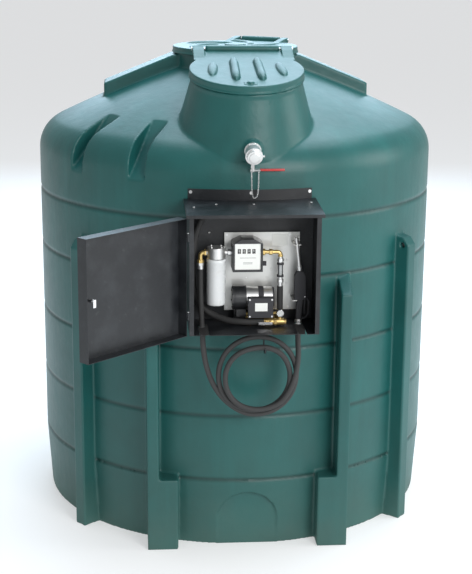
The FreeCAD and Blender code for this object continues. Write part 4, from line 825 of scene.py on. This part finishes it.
class TANK_OT_lids(bpy.types.Operator):
    """Makes the two lids with their ribs, horns and rolled edges"""
    bl_idname = "tank.lids"
    bl_label = "Lids"

    def execute(self, context):
        front = lid_blank(FRONT_LID_R, 0.042, 0.203, 0.262)
        for side in (-1, 1):
            front.append(ridge(straight((side * 0.066, -0.205, 0), (side * 0.060, 0.155, 0)), 0.023, 0.026))
            front.append(ridge(straight((side * 0.182, -0.130, 0), (side * 0.166, 0.090, 0)), 0.025, 0.018,
                               fade=0.48))
        front.append(lathe([(0, -LID_PLATE), (0.019, -LID_PLATE), (0.019, 0.007), (0.013, 0.013), (0, 0.013)],
                           (0, -0.245, 0), (0, 0, 1), 24))
        front.append(slab(-0.030, 0.030, -0.262, -0.225, -0.002, 0.004))
        self.lid("front_lid", front, FRONT_LID)
        centre = lid_blank(CENTRE_LID_R, 0.035, 0.128, 0.168)
        centre += [ridge(bowed((0.090, 0.300), 60 * k, 62), 0.020, 0.011) for k in range(6)]
        centre.append(lathe([(0, -0.004), (0.062, -0.004), (0.058, 0.008), (0, 0.011)], (0, 0, 0), (0, 0, 1)))
        self.lid("centre_lid", centre, CENTRE_LID)
        return {"FINISHED"}

    def lid(self, node, extra, place):
        mesh = softened(joined(extra, place), LID_VOXEL, 3, KEPT)
        piece(node + "_moulding", mesh, node, "tank_green", replaced=(node,))


SHEET_ROUND = 0.6 * MM


class TANK_OT_castings(bpy.types.Operator):
    """Rounds the edges of cast and moulded fittings and eases those of the sheet metal"""
    bl_idname = "tank.castings"
    bl_label = "Castings and sheet"

    ROUNDED = {
        "meter_body": ("tank", "cast_black", 1.5), "pump_body": ("tank", "cast_black", 1.5),
        "filter_head": ("tank", "cast_aluminium", 1.2), "terminal_box": ("tank", "black_plastic", 1.2),
        "nozzle_body": ("tank", "black_plastic", 1.0), "fill_valve_body": ("tank", "zinc", 1.3),
        "fill_cap": ("fill_cap", "cast_aluminium", 1.0), "brass_elbows": ("tank", "brass", 0.9),
        "suction_valve_body": ("tank", "brass", 0.9), "zinc_unions": ("tank", "zinc", 0.8),
        "hose_tails": ("tank", "zinc", 0.8), "nozzle_trigger": ("nozzle_trigger", "black_plastic", 0.8),
        "pump_pipes": ("tank", "brass", 1.0),
    }
    EASED = {
        "cabinet_body": "tank", "cabinet_roof": "tank", "door": "door", "equipment_plate": "tank",
        "terminal_cover": "tank", "nozzle_holder": "tank", "blank_plates": "tank",
    }

    def execute(self, context):
        slots = {row["node"]: row["material_slot"] for row in frame["record"]["subparts"]}
        for node, (body, slot, voxel) in self.ROUNDED.items():
            mesh = softened(clean_copy(node), voxel * MM, 3, KEPT)
            piece(node + "_cast", mesh, body, slot, replaced=(node,))
        for node, body in self.EASED.items():
            mesh = eased(clean_copy(node), SHEET_ROUND)
            piece(node + "_sheet", mesh, body, slots[node], replaced=(node,))
        return {"FINISHED"}


# Fill point: the cap's centre, the way it faces, and the lever's root behind and below it
FILL_CENTRE = Vector((0.008, -1.212, 2.088))
FILL_TILT = math.radians(12)
FILL_DOWN = Vector((0, math.sin(FILL_TILT), -math.cos(FILL_TILT)))
FILL_OUT = Vector((0, -math.cos(FILL_TILT), -math.sin(FILL_TILT)))
LEVER_ROOT = FILL_CENTRE - FILL_OUT * 0.073 + FILL_DOWN * 0.088
RING_AT = FILL_CENTRE - FILL_OUT * 0.0342
SLEEVE = (0.036, 0.157)
SLEEVE_HALF = (0.0112, 0.0052)
LINK_PITCH = 0.0092
LINK_TWIST = 0.4
CHAIN_ROUTE = [
    (-0.004, -1.1785, 2.0590), (-0.002, -1.1785, 1.9421), (0.006, -1.1685, 1.8900), (0.018, -1.1578, 1.8840),
    (0.031, -1.1338, 1.8960), (0.037, -1.1211, 1.9512), (0.037, -1.1204, 2.0150),
]


def smooth_line(route, pitch):
    """Even steps along a smooth line through the route's points."""
    fine = []
    ends = [route[0], *route, route[-1]]
    for k in range(len(ends) - 3):
        a, b, c, d = (Vector(p) for p in ends[k:k + 4])
        for j in range(12):
            t = j / 12
            fine.append(0.5 * (2 * b + (c - a) * t + (2 * a - 5 * b + 4 * c - d) * t * t
                               + (3 * b - a - 3 * c + d) * t ** 3))
    fine.append(Vector(route[-1]))
    out, left = [fine[0]], pitch
    for here, after in zip(fine, fine[1:]):
        step = (after - here).length
        while step >= left:
            here = here + (after - here) * (left / step)
            out.append(here)
            step, left = step - left, pitch
        left -= step
    return out


def hoop(ring, wire, sides):
    """A closed loop of wire along a flat ring of points."""
    points, faces, n = [], [], len(ring)
    for k, p in enumerate(ring):
        ahead = (ring[(k + 1) % n] - ring[k - 1]).normalized()
        out = ahead.cross(Vector((0, 0, 1)))
        for j in range(sides):
            a = 2 * math.pi * j / sides
            points.append(p + out * (wire * math.cos(a)) + Vector((0, 0, wire * math.sin(a))))
    for k in range(n):
        after = (k + 1) % n
        here, there = k * sides, after * sides
        faces += [(here + j, here + (j + 1) % sides, there + (j + 1) % sides, there + j)
                  for j in range(sides)]
    mesh = from_faces(points, faces)
    mesh.polygons.foreach_set("use_smooth", [True] * len(mesh.polygons))
    return mesh


class TANK_OT_fill_point(bpy.types.Operator):
    """Adds the red sleeve on the fill lever and the cap's chain of links"""
    bl_idname = "tank.fill_point"
    bl_label = "Fill point"

    def execute(self, context):
        turns = [2 * math.pi * k / 20 for k in range(20)]
        flat = [(math.cos(a) * SLEEVE_HALF[0], math.sin(a) * SLEEVE_HALF[1]) for a in turns]
        sleeve = prism(flat, *SLEEVE)
        place = Matrix.Translation(LEVER_ROOT) @ Matrix.Rotation(FILL_TILT, 4, "X")
        sleeve.transform(place)
        piece("lever_sleeve", softened(sleeve, 0.9 * MM, 3, 0.4), "fill_lever", None, "red_sleeve")
        self.chain()
        return {"FINISHED"}

    def chain(self):
        """Twisted oval links along the route, with the loose ring they hang from."""
        line = smooth_line(CHAIN_ROUTE, LINK_PITCH)
        places = []
        for k, (here, after) in enumerate(zip(line, line[1:])):
            twist = Euler((math.pi / 2 * (k % 2) + LINK_TWIST, 0, 0))
            turn = (after - here).to_track_quat("X", "Z") @ twist.to_quaternion()
            places.append(((here + after) / 2, tuple(turn.to_euler())))
        link = []
        half, bend, wire = LINK_PITCH / 2, 0.0024, 0.0009
        for k in range(12):
            a = 2 * math.pi * k / 12
            x = math.cos(a) * bend + math.copysign(half - 0.0006, math.cos(a))
            link.append(Vector((x, math.sin(a) * bend, 0)))
        scattered("cap_chain_links", places, hoop(link, wire, 5), "tank", "zinc", replaced=("cap_chain",))
        ring = lathe([(0.0325, -0.0011), (0.0375, -0.0011), (0.0375, 0.0011), (0.0325, 0.0011)],
                     RING_AT, FILL_OUT, 48)
        piece("cap_ring", ring, "tank", "zinc")


FACING = Matrix.Rotation(math.radians(90), 4, "X")
WHEELS = ("ones", "tens", "hundreds", "thousands")
DIGIT_SIZE = 0.0145
WHEEL_BORE = 0.00255
WINDOW_ROOM = 0.0012     # window beyond the wheel at each side
WINDOW_HALF = 0.0095
FRAME_WIDTH = 0.0022


class TANK_OT_meter(bpy.types.Operator):
    """Adds the counter's drums and figures, the window frames and the face's printed rules"""
    bl_idname = "tank.meter"
    bl_label = "Meter"

    def execute(self, context):
        for name in WHEELS:
            self.drum(name)
        self.face()
        return {"FINISHED"}

    def drum(self, name):
        """A black drum with ten white figures round it."""
        low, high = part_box("meter_wheel_" + name)
        low, high = Vector(low), Vector(high)
        middle = (low + high) / 2
        radius, width = (high.z - low.z) / 2, high.x - low.x
        body = "wheel_" + name
        outline = [(WHEEL_BORE, 0), (radius, 0), (radius, width), (WHEEL_BORE, width)]
        drum = lathe(outline, (low.x, middle.y, middle.z), (1, 0, 0), 40)
        piece("drum_" + name, drum, body, "black_plastic", replaced=("meter_wheel_" + name,))
        figures = []
        for k in range(10):
            one = lettering(str(k), DIGIT_SIZE, 0.00012)
            one.transform(Matrix.Translation(middle) @ Matrix.Rotation(math.radians(36 * k), 4, "X")
                          @ Matrix.Translation((0, -radius, 0)) @ FACING)
            figures.append(one)
        piece("figures_" + name, joined(figures), body, "face_white")

    def face(self):
        """Raised black frames round the windows, and plain printed rules below them."""
        low, high = (Vector(v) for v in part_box("meter_face"))
        front = low.y
        rims, rules = [], []
        for name in WHEELS:
            a, b = (Vector(v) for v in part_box("meter_wheel_" + name))
            x0, x1 = a.x - WINDOW_ROOM, b.x + WINDOW_ROOM
            z0, z1 = (a.z + b.z) / 2 - WINDOW_HALF, (a.z + b.z) / 2 + WINDOW_HALF
            wide = FRAME_WIDTH
            for box in ((x0 - wide, x1 + wide, z1, z1 + wide), (x0 - wide, x1 + wide, z0 - wide, z0),
                        (x0 - wide, x0, z0, z1), (x1, x1 + wide, z0, z1)):
                rims.append(slab(box[0], box[1], front - 0.0007, front + 0.0002, box[2], box[3]))
        middle, width = (low.x + high.x) / 2, high.x - low.x
        for drop, share in ((0.034, 0.62), (0.058, 0.36), (0.064, 0.36)):
            z = (a.z + b.z) / 2 - drop
            half = width * share / 2
            rules.append(slab(middle - half, middle + half, front - 0.0002, front + 0.0002, z, z + 0.0016))
        piece("window_frames", joined(rims), "tank", "black_plastic")
        piece("face_rules", joined(rules), "tank", "black_plastic")


class TANK_OT_gauge(bpy.types.Operator):
    """Adds the gauge's white dial, its marks and its bright rim"""
    bl_idname = "tank.gauge"
    bl_label = "Gauge"

    def execute(self, context):
        low, high = (Vector(v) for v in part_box("pressure_gauge"))
        radius = (high.x - low.x) / 2
        centre = Vector(((low.x + high.x) / 2, low.y, high.z - radius))
        dial = lathe([(0.0012, 0), (radius - 0.0022, 0), (radius - 0.0022, 0.0005), (0.0012, 0.0005)],
                     centre + Vector((0, 0.0041, 0)), FRONT, 40)
        piece("gauge_dial", dial, "tank", "face_white")
        rim = lathe([(radius - 0.0019, -0.002), (radius, -0.002), (radius, 0.0002), (radius - 0.0008, 0.0009),
                     (radius - 0.0019, 0.0004)], centre, FRONT, 40)
        piece("gauge_rim", rim, "tank", "chrome")
        marks = []
        for k in range(11):
            tick = slab(-0.0003, 0.0003, -0.0001, 0.0001, radius - 0.0062, radius - 0.0036)
            turn = Matrix.Rotation(math.radians(225 + 27 * k), 4, "Y")
            tick.transform(Matrix.Translation(centre + Vector((0, 0.0035, 0))) @ turn)
            marks.append(tick)
            if k % 2 == 0:
                a = math.radians(225 + 27 * k)
                figure = lettering(str(k), 0.0042, 0.0001)
                place = centre + Vector((math.sin(a), 0, math.cos(a))) * (radius - 0.0088)
                figure.transform(Matrix.Translation(place + Vector((0, 0.0035, 0))) @ FACING)
                marks.append(figure)
        piece("gauge_marks", joined(marks), "tank", "black_plastic")
        self.sight_core()
        return {"FINISHED"}

    def sight_core(self):
        """The dark vaned core that is seen through the sight glass."""
        low, high = (Vector(v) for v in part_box("sight_glass_frame"))
        middle = (low + high) / 2
        base = (middle.x, middle.y, low.z + 0.005)
        core = [lathe([(0, 0), (0.0052, 0), (0.0052, high.z - low.z - 0.010), (0, high.z - low.z - 0.010)],
                      base, (0, 0, 1), 20)]
        for k in range(3):
            vane = slab(-0.0088, 0.0088, -0.0006, 0.0006, 0.006, high.z - low.z - 0.016)
            vane.transform(Matrix.Translation(base) @ Matrix.Rotation(math.radians(60 * k + 15), 4, "Z"))
            core.append(vane)
        piece("sight_core", joined(core), "tank", "black_plastic")


class TANK_OT_cartridge(bpy.types.Operator):
    """Gives the filter cartridge its rolled seam, shoulder and domed end"""
    bl_idname = "tank.cartridge"
    bl_label = "Filter cartridge"

    def execute(self, context):
        low, high = (Vector(v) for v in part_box("filter_cartridge"))
        r = (high.x - low.x) / 2
        centre = Vector(((low.x + high.x) / 2, (low.y + high.y) / 2, low.z))
        tall = high.z - low.z
        wall = [(0, 0.0035), (r * 0.55, 0.0015), (r * 0.80, 0)]
        wall += [(r - 0.010 + 0.0085 * math.sin(math.radians(a)), 0.010 - 0.010 * math.cos(math.radians(a)))
                 for a in (15, 35, 55, 75, 90)]
        wall += [(r - 0.0015, tall - 0.016), (r, tall - 0.0145), (r, tall - 0.004),
                 (r - 0.002, tall - 0.0005), (r - 0.009, tall), (r - 0.014, tall - 0.003), (0.0121, tall - 0.003), (0.0121, tall - 0.010),
                 (0, tall - 0.010)]
        piece("cartridge", lathe(wall, centre, (0, 0, 1), 72), "tank", "filter_white",
              replaced=("filter_cartridge",))
        flats = lathe([(0, 0), (0.0125, 0), (0.0125, 0.003), (0, 0.003)], centre, (0, 0, 1), 6)
        flats.polygons.foreach_set("use_smooth", [False] * len(flats.polygons))
        piece("cartridge_drain", flats, "tank", "filter_white")
        return {"FINISHED"}


# Notches in the cabinet's floor: their sides, and the hole that the hose passes through
CABINET_FLOOR_Z = 1.250
NOTCHES = [
    {"x": (-0.268, -0.220), "y": (-1.3975, -1.2125), "hole": (-0.249, -1.240), "radius": 0.0160},
    {"x": (0.212, 0.258), "y": (-1.3975, -1.1765), "hole": (0.236, -1.2005), "radius": 0.0170},
]


class TANK_OT_floor_pads(bpy.types.Operator):
    """Closes the cabinet floor's notches round the hose with rubber pads"""
    bl_idname = "tank.floor_pads"
    bl_label = "Floor pads"

    def execute(self, context):
        piece("floor_pads", joined([self.pad(notch) for notch in NOTCHES]), "tank", "hose_rubber")
        return {"FINISHED"}

    def pad(self, notch):
        """A sheet with a round hole, as rings from the hole out to the notch's edge."""
        (x0, x1), (y0, y1), (cx, cy), r = notch["x"], notch["y"], notch["hole"], notch["radius"]
        low, high, steps = CABINET_FLOOR_Z + 0.0004, CABINET_FLOOR_Z + 0.0016, 48
        points, faces = [], []
        for k in range(steps):
            a = 2 * math.pi * (k + 0.5) / steps
            dx, dy = math.cos(a), math.sin(a)
            reach_x = (x1 - cx if dx > 0 else cx - x0) / max(abs(dx), 1e-6)
            reach_y = (y1 - cy if dy > 0 else cy - y0) / max(abs(dy), 1e-6)
            far = max(min(reach_x, reach_y), r + 0.0005)
            near = min(r, far - 0.0004)
            section = ((near, low), (far, low), (far, high), (near, high))
            points += [(cx + dx * d, cy + dy * d, z) for d, z in section]
        for k in range(steps):
            base, after = 4 * k, 4 * ((k + 1) % steps)
            faces += [(base + j, base + (j + 1) % 4, after + (j + 1) % 4, after + j) for j in range(4)]
        return from_faces(points, faces)


PLATE_Y, BACK_Y = -1.120, -1.1022     # faces of the equipment plate and of the cabinet's back
PLATE_SCREWS = [(-0.070, 1.520), (0.030, 1.512), (0.105, 1.512), (-0.020, 1.470),
                (0.085, 1.470), (0.180, 1.440), (0.180, 1.560), (-0.070, 1.350)]
PANEL_RIVETS = [(-0.205, 1.700), (-0.150, 1.780), (0.245, 1.620), (0.262, 1.470), (0.262, 1.330)]


class TANK_OT_small_screws(bpy.types.Operator):
    """Adds the small screws and rivets of the plate and the back panel"""
    bl_idname = "tank.small_screws"
    bl_label = "Small screws"

    def execute(self, context):
        turn = (math.radians(90), 0, 0)
        on_plate = [((x, PLATE_Y, z), turn) for x, z in PLATE_SCREWS]
        scattered("plate_small_screws", on_plate, self.head(0.0034), "tank", "zinc")
        on_panel = [((x, BACK_Y, z), turn) for x, z in PANEL_RIVETS]
        scattered("panel_rivets", on_panel, self.head(0.0052), "tank", "zinc")
        return {"FINISHED"}

    def head(self, r):
        """A button head with a round socket."""
        outline = [(0, r * 0.25), (r * 0.45, r * 0.25), (r * 0.5, r * 0.62), (r * 0.82, r * 0.42),
                   (r, 0), (0, 0)]
        return lathe(outline, (0, 0, 0), (0, 0, 1), 18)


class TANK_PT_panel(bpy.types.Panel):
    """Lists the settings and the steps"""
    bl_idname = "TANK_PT_panel"
    bl_label = "Diesel dispensing tank"
    bl_space_type = "VIEW_3D"
    bl_region_type = "UI"
    bl_category = "Tank"

    def draw(self, context):
        tools = context.scene.tank_tools
        for key in TANK_PG_tools.__annotations__:
            self.layout.prop(tools, key)
        for step in STEPS:
            self.layout.operator(step.bl_idname)


STEPS = (TANK_OT_stage, TANK_OT_finishes, TANK_OT_moulding, TANK_OT_lids, TANK_OT_castings,
         TANK_OT_fill_point, TANK_OT_meter, TANK_OT_gauge, TANK_OT_cartridge, TANK_OT_floor_pads,
         TANK_OT_small_screws, TANK_OT_delivery_hose)
CLASSES = (TANK_PG_tools, *STEPS, TANK_PT_panel)


def register():
    for made in CLASSES:
        bpy.utils.register_class(made)
    bpy.types.Scene.tank_tools = PointerProperty(type=TANK_PG_tools)


def unregister():
    del bpy.types.Scene.tank_tools
    for made in reversed(CLASSES):
        bpy.utils.unregister_class(made)


def main():
    register()
    for step in STEPS:
        group, name = step.bl_idname.split(".")
        getattr(getattr(bpy.ops, group), name)()


if __name__ == "__main__":
    main()
